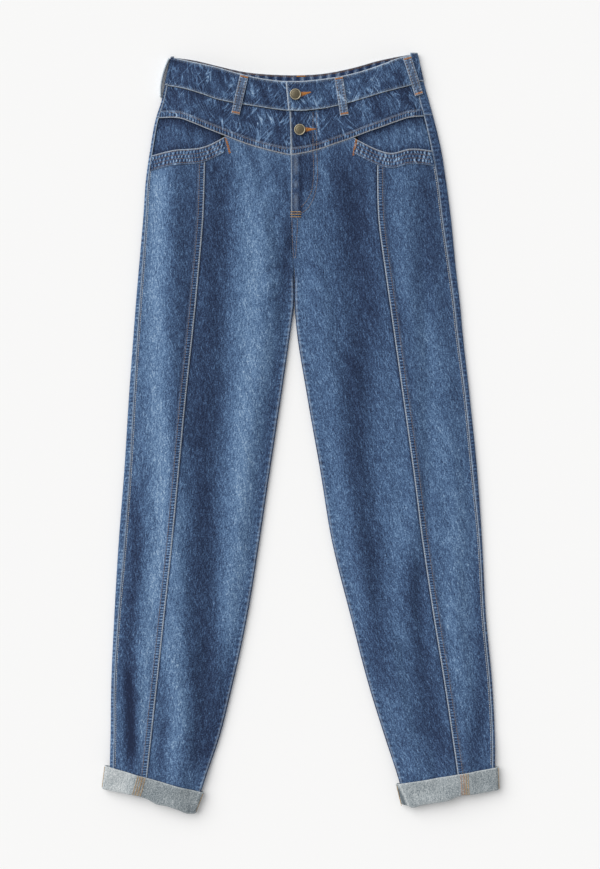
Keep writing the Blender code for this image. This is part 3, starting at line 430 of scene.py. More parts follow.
def stretchedNoise(tree, place, across, along, detail=2.0, turn=0.0, roughness=0.5):
    # noise of (across, along) cycles a millimetre, turned by degrees
    turned = addNode(tree, "ShaderNodeMapping", {"Vector": place, "Rotation": (0, 0, math.radians(turn))})
    scaled = addNode(tree, "ShaderNodeVectorMath", {0: turned, 1: (across, along, 1.0)}, operation="MULTIPLY")
    inputs = {"Vector": scaled, "Scale": 1.0, "Detail": detail, "Roughness": roughness}
    return addNode(tree, "ShaderNodeTexNoise", inputs, "Fac", noise_dimensions="2D")


sums = "ShaderNodeMath"
creaseWays = ((38, 0.150, 0.017), (-34, 0.135, 0.019), (-12, 0.120, 0.015))  # turn, cycles a mm across, along


def creaseLines(tree, place):
    # thin pale lines, 1 - |noise - 0.5| / 0.045 of long slanted noise, kept in patches; the greatest of three
    greatest = None
    for turn, across, along in creaseWays:
        slanted = stretchedNoise(tree, place, across, along, 1.0, turn)
        centred = addNode(tree, sums, {0: slanted, 1: 0.5}, operation="SUBTRACT")
        off = addNode(tree, sums, {0: centred}, operation="ABSOLUTE")
        near = addNode(tree, sums, {0: off, 1: -1 / 0.045, 2: 1.0}, operation="MULTIPLY_ADD", use_clamp=True)
        patches = stretchedNoise(tree, place, 0.040, 0.040, 1.0, 2 * turn)
        kept = addNode(tree, sums, {0: patches, 1: 4.0, 2: -1.6}, operation="MULTIPLY_ADD", use_clamp=True)
        line = addNode(tree, sums, {0: near, 1: kept}, operation="MULTIPLY")
        if greatest is not None:
            line = addNode(tree, sums, {0: line, 1: greatest}, operation="MAXIMUM")
        greatest = line
    return greatest


clothNoise = {  # cycles a millimetre across and along the leg, detail, turn in degrees, roughness
    "slub": (0.42, 0.05, 2.0),
    "thread": (0.60, 0.20, 2.0),
    "grain": (0.62, 0.54, 1.0, 0.0, 0.8),
    "bands": (0.075, 0.014, 3.0, -28),
    "cloud": (0.030, 0.012, 3.0),
    "fleckDown": (0.50, 0.09, 2.0, -27),
    "fleckUp": (0.42, 0.10, 2.0, 24),
}


def twillCloth(name, stops, worn, look):
    # Cotton twill: indigo warp over pale weft. The slubs give short streaks down the leg, the wash gives pale
    # slanting flecks and cloudy patches. The twill line is 0.5 mm on real denim, drawn at 1.7 mm to show.
    material, tree, shader = newMaterial(name, {
        "Roughness": 0.88, "IOR": 1.45, "Specular IOR Level": 0.18, "Sheen Weight": look["sheen"],
        "Sheen Roughness": 0.55})
    mapped = addNode(tree, "ShaderNodeUVMap", {}, uv_map="cloth")  # the cloth's own map, in metres
    place = addNode(tree, "ShaderNodeVectorMath", {0: mapped, 1: (1000.0,) * 3}, operation="MULTIPLY")
    noise = {key: stretchedNoise(tree, place, *sizes) for key, sizes in clothNoise.items()}
    up = addNode(tree, sums, {0: noise["fleckUp"], 1: 0.04}, operation="SUBTRACT")
    flecks = addNode(tree, sums, {0: noise["fleckDown"], 1: up}, operation="MAXIMUM")
    fleckStops = ((0.53, "#000000"), (0.70, "#ffffff"))
    fleck = addNode(tree, "ShaderNodeValToRGB", {"Fac": flecks}, stops=fleckStops)
    # this attribute holds the wash's fading and also painted shade and highlight on folds, seams, puckers and
    # hollows
    fadeAndShade = addNode(tree, "ShaderNodeAttribute", {}, "Fac", attribute_name="fadeAndShade")
    wear = addNode(tree, "ShaderNodeAttribute", {}, "Fac", attribute_name="wear")
    # the tone is the fade-and-shade attribute (the wash's fading together with painted shade and highlight) and
    # each centred noise by its amount, then the flecks and crease lines
    amounts = {"thread": 0.55, "cloud": 0.18, **{key: look[key] for key in ("slub", "grain", "bands")}}
    layers = [(fadeAndShade, look["fadeAndShade"])] + [(noise[key], amount) for key, amount in amounts.items()]
    layers.append((fleck, look["fleck"]))
    if look.get("lines"):
        layers.append((creaseLines(tree, place), look["lines"]))
    tone = look["tone"] - 0.5 * sum(amounts.values())
    for source, amount in layers:
        tone = addNode(tree, sums, {0: source, 1: amount, 2: tone}, operation="MULTIPLY_ADD")
    dyed = addNode(tree, "ShaderNodeValToRGB", {"Fac": tone}, stops=stops)
    uneven = addNode(tree, sums, {0: noise["grain"], 1: 0.35}, operation="ADD")
    rubbed = addNode(tree, sums, {0: wear, 1: uneven}, operation="MULTIPLY", use_clamp=True)
    colour = addNode(tree, "ShaderNodeMix", {0: rubbed, 6: dyed, 7: linear(worn)}, 2, data_type="RGBA")
    tree.links.new(colour, shader.inputs["Base Color"])
    turned = addNode(tree, "ShaderNodeMapping", {"Vector": place, "Rotation": (0, 0, math.radians(62))})
    wave = {"Vector": turned, "Scale": 0.093, "Distortion": 1.2, "Detail": 1.0}
    height = addNode(tree, "ShaderNodeTexWave", wave, "Fac", bands_direction="X")
    height = addNode(tree, sums, {0: height, 1: 0.35}, operation="MULTIPLY")
    for key, amount in (("grain", 0.7), ("thread", 0.4)):
        height = addNode(tree, sums, {0: noise[key], 1: amount, 2: height}, operation="MULTIPLY_ADD")
    bump = addNode(tree, "ShaderNodeBump", {"Height": height, "Strength": look["bump"], "Distance": 0.0006})
    tree.links.new(bump, shader.inputs["Normal"])
    return material


denimStops = (
    (0.0, "#1c2740"), (0.25, "#2f405e"), (0.45, "#425a7c"), (0.62, "#587497"), (0.78, "#6f8cae"),
    (1.0, "#9cb3ca"),
)
insideStops = ((0.0, "#141d33"), (0.4, "#223253"), (0.75, "#3c5274"), (1.0, "#8392a8"))
paleStops = ((0.0, "#6b747a"), (0.35, "#979fa3"), (0.6, "#b2b8bb"), (1.0, "#d6dadb"))
washedDenim = twillCloth("stone_washed_denim", denimStops, "#a8b6c6", {
    "tone": 0.45, "fadeAndShade": 0.34, "slub": 0.36, "grain": 0.76, "fleck": 0.19, "bands": 0.20, "bump": 0.5,
    "sheen": 0.03})
seamDenim = twillCloth("rubbed_seam_denim", denimStops, "#c0cad3", {
    "tone": 0.29, "fadeAndShade": 0.34, "slub": 0.24, "grain": 0.72, "fleck": 0.12, "bands": 0.62, "bump": 0.6,
    "sheen": 0.03, "lines": 0.56})
insideDenim = twillCloth("unfaded_denim", insideStops, "#7f8ea6", {
    "tone": 0.66, "fadeAndShade": 0.5, "slub": 0.3, "grain": 0.5, "fleck": 0.1, "bands": 0.0, "bump": 0.5,
    "sheen": 0.03})
paleDenim = twillCloth("denim_wrong_side", paleStops, "#d6dbdc", {
    "tone": 0.40, "fadeAndShade": 0.25, "slub": 0.25, "grain": 1.15, "fleck": 0.14, "bands": 0.10, "bump": 0.8,
    "sheen": 0.05})


def threadLook(name, colour, dark):
    # Spun polyester-cotton topstitching thread: dull, with the two-ply twist as a slight change of tone
    material, tree, shader = newMaterial(name, {
        "Roughness": 0.75, "Specular IOR Level": 0.3, "Sheen Weight": 0.1})
    place = addNode(tree, "ShaderNodeTexCoord", {}, "Object")
    noise = addNode(tree, "ShaderNodeTexNoise", {"Vector": place, "Scale": 700.0, "Detail": 1.0}, "Fac")
    twist = addNode(tree, "ShaderNodeValToRGB", {"Fac": noise}, stops=((0.35, dark), (0.65, colour)))
    tree.links.new(twist, shader.inputs["Base Color"])
    return material


tanThread = threadLook("tan_topstitch_thread", "#9a8573", "#6f6058")
paleThread = threadLook("worn_pale_thread", "#d3d3cf", "#a3a8ae")
blueThread = threadLook("faded_blue_topstitch_thread", "#76828f", "#4d5b72")
orangeThread = threadLook("orange_topstitch_thread", "#d8923c", "#a86b2c")
brownThread = threadLook("brown_topstitch_thread", "#8a6a48", "#5a4a3c")
goldThread = threadLook("gold_overlock_thread", "#cda56a", "#a3824f")
pinkTanThread = threadLook("faded_overlock_thread", "#c79a80", "#9d7a68")


def brassLook():
    # Antique brass: darkened in the hollows and rubbed olive-bright on the raised rim
    material, tree, shader = newMaterial("antique_brass", {"Metallic": 0.85, "Roughness": 0.42})
    rubbed = addNode(tree, "ShaderNodeAttribute", {}, "Fac", attribute_name="rubbed")
    place = addNode(tree, "ShaderNodeTexCoord", {}, "Object")
    noise = addNode(tree, "ShaderNodeTexNoise", {"Vector": place, "Scale": 900.0, "Detail": 3.0}, "Fac")
    bright = addNode(tree, sums, {0: rubbed, 1: 0.8}, operation="MULTIPLY")
    tone = addNode(tree, sums, {0: noise, 1: 0.35, 2: bright}, operation="MULTIPLY_ADD")
    stops = ((0.1, "#453f33"), (0.45, "#7a725e"), (0.95, "#a8a08a"))
    colour = addNode(tree, "ShaderNodeValToRGB", {"Fac": tone}, stops=stops)
    tree.links.new(colour, shader.inputs["Base Color"])
    bump = addNode(tree, "ShaderNodeBump", {"Height": noise, "Strength": 0.25, "Distance": 0.0002})
    tree.links.new(bump, shader.inputs["Normal"])
    return material


brass = brassLook()
print("materials: denim, threads and brass ready")


def metres(points):
    # millimetres on the garment to metres about its middle
    return (np.asarray(points) - np.array(garment["centre"])) * 0.001


def arcs(points, axis):
    # the distance along the surface from the first row or column
    steps = np.linalg.norm(np.diff(points, axis=axis), axis=-1)
    first = np.zeros_like(np.take(steps, [0], axis=axis))
    return np.concatenate([first, np.cumsum(steps, axis=axis)], axis=axis)


def putIn(name, data):
    # a new object in the scene
    thing = bpy.data.objects.new(name, data)
    bpy.context.scene.collection.objects.link(thing)
    return thing


def gridPiece(name, points, materials, up=True, closed=False, wear=0.0, fadeAndShade=0.0, offset=0.0):
    # a mesh from rows of points, with its own map in metres, and as attributes its wear and its fade with painted
    # shade and highlight
    rows, columns = points.shape[:2]
    place = metres(points)
    index = np.arange(rows * columns).reshape(rows, columns)
    if closed:
        index = np.concatenate([index, index[:, :1]], axis=1)
    quads = np.stack([index[:-1, :-1], index[:-1, 1:], index[1:, 1:], index[1:, :-1]], axis=-1).reshape(-1, 4)
    a, b, c = (place.reshape(-1, 3)[quads[:, k]] for k in (0, 1, 2))
    facing = np.cross(b - a, c - b)[:, 2].sum()
    if not closed and (facing > 0) != up:
        quads = quads[:, ::-1]
    mesh = bpy.data.meshes.new(name)
    mesh.from_pydata(place.reshape(-1, 3).tolist(), [], quads.tolist())
    across = arcs(place, 1)
    across = (across - across.mean(axis=1, keepdims=True)) * (-1 if place[0, -1, 0] < place[0, 0, 0] else 1)
    along = arcs(place, 0).mean(axis=1, keepdims=True) + np.zeros_like(across)
    along = along * (-1 if place[-1, 0, 1] < place[0, 0, 1] else 1)
    uv = np.stack([across + offset, along + 0.37 * offset], axis=-1).reshape(-1, 2)
    layer = mesh.uv_layers.new(name="cloth")
    corner = np.zeros(len(mesh.loops), int)
    mesh.loops.foreach_get("vertex_index", corner)
    layer.data.foreach_set("uv", uv[corner].reshape(-1))
    for key, values in (("wear", wear), ("fadeAndShade", fadeAndShade)):
        data = np.broadcast_to(values, (rows, columns)).astype(np.float32)
        mesh.attributes.new(key, "FLOAT", "POINT").data.foreach_set("value", data.reshape(-1))
    mesh.shade_smooth()
    for look in materials:
        mesh.materials.append(look)
    return putIn(name, mesh)


def turnOut(piece, way, count=None):
    # flips all the faces where the first ones, by their count, point against the way out
    normals = np.zeros(len(piece.data.polygons) * 3)
    piece.data.polygons.foreach_get("normal", normals)
    if (normals.reshape(-1, 3)[:count] @ way).sum() < 0:
        piece.data.flip_normals()


def belong(piece, slot, *nodes):
    # every piece lies still on the one body
    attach(piece, "root")
    if nodes:
        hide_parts(*nodes)
    return piece


def weld(piece):
    # joins the points that lie on each other
    piece.modifiers.new("weld", "WELD").merge_threshold = 1e-6


def thicken(piece, thickness):
    # the cloth's wall, grown inwards; its inner face takes the second material
    solid = piece.modifiers.new("wall", "SOLIDIFY")
    solid.thickness = thickness * 0.001
    solid.offset = -1
    solid.use_rim = True
    solid.material_offset = 1 if len(piece.data.materials) > 1 else 0
    return piece


def cloth(node, points, looks, thickness, wear, fadeAndShade, offset, up=True):
    # one cut piece of cloth in the place of its CAD node
    piece = gridPiece(f"jeans_{node}", points, looks, up, wear=np.clip(wear, 0, 1), fadeAndShade=fadeAndShade, offset=offset)
    return belong(thicken(piece, wall[thickness]), "washed_denim", node)


def withHeight(x, y, z):
    # places from x, y and z that broadcast together
    return np.stack(np.broadcast_arrays(x, y, z), axis=-1)


def spreadAcross(start, end, near, middle, far):
    # each row runs straight from start to end: at the near distances, then evenly, then at the far ones
    length = np.hypot(end[0] - start[0], end[1] - start[1])[:, None]
    near, far = np.array(near, float)[None, :], np.array(far, float)[None, :]
    even = near[:, -1:] + (length - near[:, -1:] - far[:, :1]) * np.linspace(0, 1, middle + 2)[None, 1:-1]
    share = np.concatenate([near + 0 * length, even, length - far], axis=1) / length
    x = start[0][:, None] + (end[0] - start[0])[:, None] * share
    y = start[1][:, None] + (end[1] - start[1])[:, None] * share
    return x, y


def legRows(leg, count):
    # the outer and inner ends of each row from the crotch to the hem, which ends level with the cuff
    ends = []
    for curve in (outerEdge, innerEdge):
        hemY = -500.0
        for _ in range(8):
            hemY = cuffLine(leg, "bottom", curve(leg, hemY)) + garment["legEnd"]
        y = garment["crotchY"] + (hemY - garment["crotchY"]) * np.linspace(0, 1, count)
        ends.append((curve(leg, y), y))
    return ends


def crossing(curve, leg, start, end):
    # where a seam x(y) crosses the straight rows from start to end
    x = curve(leg, start[1])
    for _ in range(6):
        y = start[1] + (end[1] - start[1]) * (x - start[0]) / (end[0] - start[0])
        x = curve(leg, y)
    return x, y


def flyLine(leg, y):
    # the right front runs on under the left one above the fly's end
    if leg is leftLeg:
        return through(flyEdge, y)
    return through(flyEdge, y) - seam["gap"] + 8.0 * ease((y - garment["flyEndY"] - 6) / 10)


def centreTop(leg, x):
    # the centre panel ends at the pocket's edge, or at the yoke where there is no pocket
    inPocket = (x - leg["pocketTip"]) * leg["side"] > 0
    return np.where(inPocket, through(leg["pocketEdge"], x), through(yokeSeam, x))


def centreRelief(leg, x, y):
    # the fly's raised strip and the groove behind it, and the groove along the panel seam
    rise = np.zeros(np.broadcast(x, y).shape)
    if leg is leftLeg:
        fromEdge = x - through(flyEdge, y)
        strip = 0.5 * (1 - ease((fromEdge - 11.5) / 2)) - 0.4 * hump(fromEdge - 13.7, 1.3)
        rise = flyRise(x, y) + strip * ease((y - garment["crotchY"] - 40) / 30)
        rise += pucker(y, fromEdge - 5.5, 5.0, 0.20, 4.4) * ease((y - 228) / 8)
    fromSeam = np.abs(x - panelSeam(leg, y))
    return rise - 0.35 * hump(fromSeam, 1.2)


def sideRelief(leg, x, y):
    # the turned seam allowance as a raised, puckered strip beside the panel seam
    fromSeam = np.abs(x - panelSeam(leg, y))
    below = ease((through(leg["pocketEdge"], x) - 22.0 - y) / 4)
    strip = seam["fellHeight"] * (1 - ease((fromSeam - seam["fellWidth"] + 1) / 1.5))
    furrows = -0.22 * hump(fromSeam - 1.4, 0.7) - 0.22 * hump(fromSeam - 7.4, 0.7)
    return below * (strip + furrows + pucker(y, fromSeam - 4.4, 3.4, 0.34, 3.8)) - 0.25 * hump(fromSeam, 0.6)


def centreZ(leg, x, y):
    # the centre panel's face
    return frontZ(leg, x, y) + centreRelief(leg, x, y)


def sideZ(leg, x, y):
    # the side panel's face, puckered along the side seam
    toSide = np.abs(x - sideSeam(leg, y))
    return frontZ(leg, x, y) + sideRelief(leg, x, y) + pucker(y, toSide, 2.4, 0.14)


def panelRows(startCurve, endCurve, start, end, top, near, middle, far, hipCount):
    # the hip's rows, from the panel's top edge to the crotch, and then the leg's rows
    t = np.linspace(0, 1, hipCount)[:-1]
    crotch = garment["crotchY"]
    ends = []
    for curve in (startCurve, endCurve):
        topY = 400.0
        for _ in range(8):
            topY = float(top(curve(topY)))
        y = (topY - seam["gap"]) * (1 - t) + crotch * t
        ends.append((curve(y), y))
    x, y = spreadAcross(ends[0], ends[1], near, middle, far)
    y = (top(x) - seam["gap"]) * (1 - t[:, None]) + crotch * t[:, None]
    legX, legY = spreadAcross(start, end, near, middle, far)
    return np.vstack([x, legX]), np.vstack([y, legY])


def panelWear(points, right, top, reach=1.6):
    # rubbed pale along the last column and the top edge, fading within a millimetre or two
    across, down = arcs(points, 1), arcs(points, 0)
    return np.clip(right * hump(across[:, -1:] - across, reach) + top * hump(down, reach), 0, 1)


bevelNear = [seam["gap"] / 2, 0.7, 1.5, 2.8]
turnedIn = list(fold["radius"] * (1 - np.cos(np.radians([90, 76, 63, 50, 38, 25, 12]))))


def frontCentre(leg):
    # from the fly and inseam to the panel seam, turned in round the inseam's fold
    look = {"rowsHip": 82, "rowsLeg": 310, "middle": 50, "offset": 0.31 if leg is leftLeg else 0.87}
    outer, inner = legRows(leg, look["rowsLeg"])
    far = [15.5, 14.4, 13.7, 13.0, 11.8, 10.4, 8.2, 6.0, 4.4] + turnedIn
    x, y = panelRows(
        lambda v: panelSeam(leg, v), lambda v: flyLine(leg, v), crossing(panelSeam, leg, outer, inner), inner,
        lambda v: centreTop(leg, v), bevelNear, look["middle"], far, look["rowsHip"])
    points = withHeight(x, y, centreZ(leg, x, y))
    toInner = leg["side"] * (x - innerEdge(leg, y))
    onInseam = 1 - ease((y - 205) / 15)
    fadeAndShade = fadeAndShadeAt(x, y) + onInseam * (pucker(y, toInner - 4.0, 3.5, 0.6, 7.5) - 0.9 * hump(toInner, 1.3))
    wear = panelWear(points, 0.0, 0.2) + 0.45 * onInseam * hump(toInner - 2.6, 0.9)
    # a painted shadow line on the centre panel beside the side panel's raised seam strip
    fadeAndShade = fadeAndShade - 0.9 * hump(np.abs(x - panelSeam(leg, y)) - 0.6, 1.2)
    if leg is leftLeg:
        fromEdge = x - through(flyEdge, y)
        aboveTack = ease((y - 292) / 10)
        onStrip = ease((y - 218) / 20) * (1 - ease((fromEdge - 11.5) / 1.5)) * aboveTack
        worn = onStrip * (0.5 + 0.5 * np.sin(y / 4.1 + 1.3 * np.sin(y / 9.0)))
        wear = wear + 0.30 * worn * hump(fromEdge - 6.5, 2.6)
        wear = wear + 0.8 * onStrip * hump(fromEdge - 0.4, 1.0)
        insideCurve = ease((fromEdge - 15) / 2) * (1 - ease((x - 17.5) / 2)) * ease((y - 325) / 20)
        # darker on the fly strip and inside the stitched curve, with painted shade in the groove behind the
        # raised strip
        fadeAndShade = fadeAndShade - 0.75 * (onStrip + insideCurve) - 1.2 * hump(fromEdge - 14.2, 2.4) * aboveTack
    looks = [washedDenim, paleDenim]
    cloth(f"front_centre_{leg['name']}", points, looks, "denim", wear, fadeAndShade, look["offset"])


def frontSide(leg):
    # from the panel seam, with its raised strip, to the side seam
    look = {"rowsHip": 150, "rowsLeg": 690, "middle": 17, "offset": 1.43 if leg is leftLeg else 1.91}
    outer, inner = legRows(leg, look["rowsLeg"])
    far = [10.6, 9.6, 8.8, 8.0, 7.4, 6.6, 5.4, 4.2, 3.0, 2.0, 1.4, 0.8, seam["gap"] / 2]
    x, y = panelRows(
        lambda v: sideSeam(leg, v), lambda v: panelSeam(leg, v), crossing(sideSeam, leg, outer, inner),
        crossing(panelSeam, leg, outer, inner), lambda v: through(leg["pocketEdge"], v), bevelNear,
        look["middle"], far, look["rowsHip"])
    points = withHeight(x, y, sideZ(leg, x, y))
    fromSeam = np.abs(x - panelSeam(leg, y))
    onStrip = 1 - ease((fromSeam - 8) / 1.5)
    # on the strip's puckers, paler ridges and darker dips: partly the wash's rubbing, partly painted highlight
    # and shade
    fadeAndShade = fadeAndShadeAt(x, y) * (1 - 0.5 * onStrip) - 0.35 * onStrip + pucker(y, fromSeam - 4.4, 3.0, 1.05, 3.8)
    # a painted shadow line past the raised strip's edge, and painted shade in the side seam's valley
    fadeAndShade = fadeAndShade - 0.35 * hump(fromSeam - 10.5, 1.6) - 0.6 * hump(np.abs(x - sideSeam(leg, y)), 1.2)
    wear = panelWear(points, 1.0, 0.3, 1.2) + 0.12 * hump(fromSeam - 9.0, 0.9)
    cloth(f"front_side_{leg['name']}", points, [washedDenim, paleDenim], "denim", wear, fadeAndShade, look["offset"])


def patch(start, end, lower, upper, across, up):
    # a grid between two curves y(x) and two curves x(y), found by going round until they agree
    s, t = across[None, :], up[:, None]
    first, last = float(start(450.0)), float(end(450.0))
    way = math.copysign(seam["gap"] / 2, last - first)
    x = first + (last - first) * s + 0 * t
    for _ in range(12):
        y = lower(x) * (1 - t) + upper(x) * t
        x0, x1 = start(y[:, :1]) + way, end(y[:, -1:]) - way
        x = x0 + (x1 - x0) * s
    return x, lower(x) * (1 - t) + upper(x) * t


def evenShares(length, step, edge):
    # shares from 0 to 1 with closer steps at both ends
    inner = np.linspace(edge[-1], length - edge[-1], max(int((length - 2 * edge[-1]) / step), 2))
    return np.concatenate([np.array(edge[:-1]), inner, length - np.array(edge[:-1])[::-1]]) / length


yokeRows = (1.3, 7.3)  # stitch rows, in mm up from the yoke's lower edge


def yokeZ(leg, x, y):
    # the yoke's face, with a raised, puckered strip along its lower edge
    above, under = y - through(yokeSeam, x), through(waistSeam, x) - y
    strip = seam["fellHeight"] * (1 - ease((above - 8) / 1.5)) - 0.3 * hump(above, 0.5)
    furrows = -0.22 * hump(above - yokeRows[0], 0.7) - 0.22 * hump(above - yokeRows[1], 0.7)
    relief = strip + furrows + pucker(x, above - 4.3, 3.6, 0.40, 3.8) + pucker(x, under, 3.0, 0.16, 4.0)
    return frontZ(leg, x, y) + relief + (flyRise(x, y) if leg is leftLeg else 0.0)


def frontYoke(leg):
    # between the pointed seam and the waistband, from the side seam to the fly
    look = {"offset": 2.3, "fadeAndShade": -0.36} if leg is leftLeg else {"offset": 2.9, "fadeAndShade": -0.24}
    across = evenShares(185.0, 1.05, [0, 0.7, 1.5, 2.8])
    strip = np.array([0, 0.5, 1.0, 1.4, 2.0, 3.0, 4.2, 5.4, 6.6, 7.3, 8.0, 8.8, 9.6]) / 60
    x, y = patch(lambda v: sideSeam(leg, v), lambda v: flyLine(leg, v), lambda v: through(yokeSeam, v),
                 lambda v: through(waistSeam, v) - seam["waistGap"], across,
                 np.concatenate([strip, np.linspace(0.19, 1, 42)]))
    above, under = y - through(yokeSeam, x), through(waistSeam, x) - y
    wear = 1.0 * hump(above, 1.05) + 0.20 * hump(above - 9.2, 0.9)
    wear += 0.8 * hump(x - flyLine(leg, y), 1.6) if leg is leftLeg else 0
    onStrip = 1 - ease((above - 8) / 1.5)
    # painted shade under the waistband's lower edge, and a painted shadow line just above the yoke's raised strip
    fadeAndShade = look["fadeAndShade"] - 0.35 * hump(under, 7.0) - 0.5 * hump(above - 11, 2.0) + 0.10 * onStrip
    # on the strip's puckers, paler ridges and darker dips: partly the wash's rubbing, partly painted highlight
    # and shade
    fadeAndShade = fadeAndShade + creaseFadeAndShade * creaseHeight(x, y) + pucker(x, above - 4.3, 3.4, 1.25, 3.8)
    points = withHeight(x, y, yokeZ(leg, x, y))
    looks = [seamDenim, paleDenim]
    cloth(f"front_yoke_{leg['name']}", points, looks, "denim", wear, fadeAndShade, look["offset"])


def bandZ(leg, x, y):
    # the front waistband's face; the left half lies on the right one at the button
    z = frontZ(leg, x, y, fold["bandProud"])
    if leg is leftLeg:
        z = z + (wall["band"] + seam["gap"]) * (1 - ease((x - through(bandEnd, y) - 27.0) / 25))
    above, under = y - through(waistSeam, x), through(frontTop, x) - y
    edges = -0.5 * hump(above, 0.8) - 0.5 * hump(under, 0.8)
    furrows = -0.2 * hump(above - 3.2, 0.7) - 0.2 * hump(under - 3.4, 0.7)
    puckers = pucker(x, above - 2.5, 3.4, 0.20, 4.2) + pucker(x, under - 2.6, 3.4, 0.20, 4.6)
    return z + edges + furrows + puckers


def frontBand(leg):
    # half of the front waistband; the right half runs on under the left one
    look = {"offset": 3.8, "fadeAndShade": -0.16, "lap": 27}
    if leg is leftLeg:
        look = {"offset": 3.3, "fadeAndShade": -0.02, "lap": 0}
    x, y = patch(lambda v: sideSeam(leg, v), lambda v: through(bandEnd, v) + look["lap"],
                 lambda v: through(waistSeam, v), lambda v: through(frontTop, v),
                 evenShares(172.0, 1.1, [0, 0.6, 1.3, 2.6]),
                 evenShares(38.0, 1.1, [0, 0.5, 1.1, 2.2, 3.2, 4.2]))
    if leg is leftLeg:  # the lap's free corner is rounded
        corner = np.maximum(5.0 - (x - through(bandEnd, y)), 0) / 5.0
        y = y - 2.6 * corner**2 * ease((y - through(waistSeam, x)) / 38.0)
    above, under = y - through(waistSeam, x), through(frontTop, x) - y
    wear = 1.0 * hump(under, 1.25) + 0.85 * hump(above, 1.1)
    wear = wear + (1.0 * hump(x - through(bandEnd, y), 1.4) if leg is leftLeg else 0)
    fadeAndShade = look["fadeAndShade"] - 0.3 * hump(above - 7, 3) - 0.25 * hump(under - 7, 3)
    # on the puckers by the stitch rows, paler ridges and darker dips: partly the wash's rubbing, partly painted
    # highlight and shade
    puckers = pucker(x, under - 2.6, 3.4, 0.3, 4.6) + pucker(x, above - 2.5, 3.0, 0.3, 4.2)
    fadeAndShade = fadeAndShade + creaseFadeAndShade * creaseHeight(x, y) + puckers
    points = withHeight(x, y, bandZ(leg, x, y))
    looks = [seamDenim, insideDenim]
    cloth(f"waistband_front_{leg['name']}", points, looks, "band", wear, fadeAndShade, look["offset"])


def pocketFacing(leg):
    # the cloth inside the pocket, which sinks in a double sine below the front
    # the right facing is painted darker all over, as the band's shadow on the recessed facing
    look = {"offset": 4.2, "fadeAndShade": -0.20} if leg is leftLeg else {"offset": 4.6, "fadeAndShade": -0.55}
    u, v = np.linspace(0, 1, 60)[None, :], np.linspace(0, 1, 34)[:, None]
    tip = leg["pocketTip"] + leg["side"] * 5
    x, y = patch(lambda at: sideSeam(leg, at), lambda at: tip + 0 * at,
                 lambda at: through(leg["pocketEdge"], at) - 8, lambda at: through(yokeSeam, at) + 4,
                 u[0], v[:, 0])
    drop = wall["denim"] + 1.0 + 2.0 * np.sin(np.pi * u) * np.sin(np.pi * v)
    under = through(yokeSeam, x) - y
    above = y - through(leg["pocketEdge"], x)
    # painted shadow along the yoke seam and under the pocket band's edge
    fadeAndShade = look["fadeAndShade"] - 0.7 * hump(under, 9.0) - 0.6 * hump(above, 6.0) + 0.15 * hump(under - 22, 8)
    fadeAndShade = fadeAndShade + 0.18 * np.sin(x / 2.3 + 2 * np.sin(x / 9)) * hump(under - 20, 14)
    points = withHeight(x, y, frontZ(leg, x, y) - drop)
    looks = [washedDenim, paleDenim]
    cloth(f"pocket_facing_{leg['name']}", points, looks, "facing", 0.0, fadeAndShade, look["offset"])


pocketRows = (2.2, 7.6, 13.0, 18.4)  # stitch rows, in mm down from the pocket's edge
pocketRidges = (4.9, 10.3, 15.7)  # the puckers between them
pocketBandDepth = 21.0


def pocketBandZ(leg, x, y):
    # the second layer's face, furrowed by its rows and puckered between them
    down = through(leg["pocketEdge"], x) - y
    rows = sum(hump(down - d, 0.8) for d in pocketRows)
    edges = -0.35 * hump(down, 0.7) - 0.35 * hump(down - pocketBandDepth, 0.7)
    ridges = sum(pucker(x + 7 * k, down - d, 2.3, 0.40, 4.2) for k, d in enumerate(pocketRidges))
    return frontZ(leg, x, y) + seam["gap"] + wall["pocketBand"] + edges - 0.25 * rows + ridges


def pocketBand(leg):
    # the stitched second layer along the pocket's edge
    look = {"offset": 5.2 if leg is leftLeg else 5.7, "fadeAndShade": 0.15}
    x, y = patch(lambda v: sideSeam(leg, v), lambda v: leg["pocketTip"] + 0 * v,
                 lambda v: through(leg["pocketEdge"], v) - pocketBandDepth,
                 lambda v: through(leg["pocketEdge"], v) - seam["gap"],
                 evenShares(90.0, 0.85, [0, 0.6, 1.4]), evenShares(pocketBandDepth, 0.75, [0, 0.5, 1.1]))
    down = through(leg["pocketEdge"], x) - y
    wear = 1.0 * hump(down, 1.3) + 0.25 * hump(down - pocketBandDepth, 1.0)
    fadeAndShade = look["fadeAndShade"] - sum(0.45 * hump(down - d, 1.0) for d in pocketRows)
    fadeAndShade = fadeAndShade + sum(pucker(x + 7 * k, down - d, 2.3, 1.35, 4.6) for k, d in enumerate(pocketRidges))
    points = withHeight(x, y, pocketBandZ(leg, x, y))
    looks = [seamDenim, paleDenim]
    cloth(f"pocket_band_{leg['name']}", points, looks, "pocketBand", wear, fadeAndShade, look["offset"])


for leg in legs:
    for make in (frontCentre, frontSide, frontYoke, frontBand, pocketFacing, pocketBand):
        make(leg)
print("front: panels, yokes, waistband and pockets made")


def roundTheFold(proud=0.0, steps=8):
    # distances in from the outer edge, first under the side fold and then over it
    radius = fold["radius"] + proud / 2
    under = radius * (1 - np.cos(np.radians(np.linspace(90, 90 / steps, steps))))
    over = radius * (1 - np.cos(np.radians(np.linspace(0, 90, steps + 1))))
    return under, over


def backCrease(leg, x, y):
    # shallow creases that press up into the back where it lies on the floor
    inside = ease((np.minimum(*edgeDistances(leg, x, y)) - 10) / 14)
    slant = np.sin((x + 0.35 * y) / 23.0 + 1.1 * np.sin(y / 57.0)) + 0.7 * np.sin((x - 0.22 * y) / 14.0 + 2.0)
    return inside * 0.45 * np.maximum(slant, 0) ** 1.5


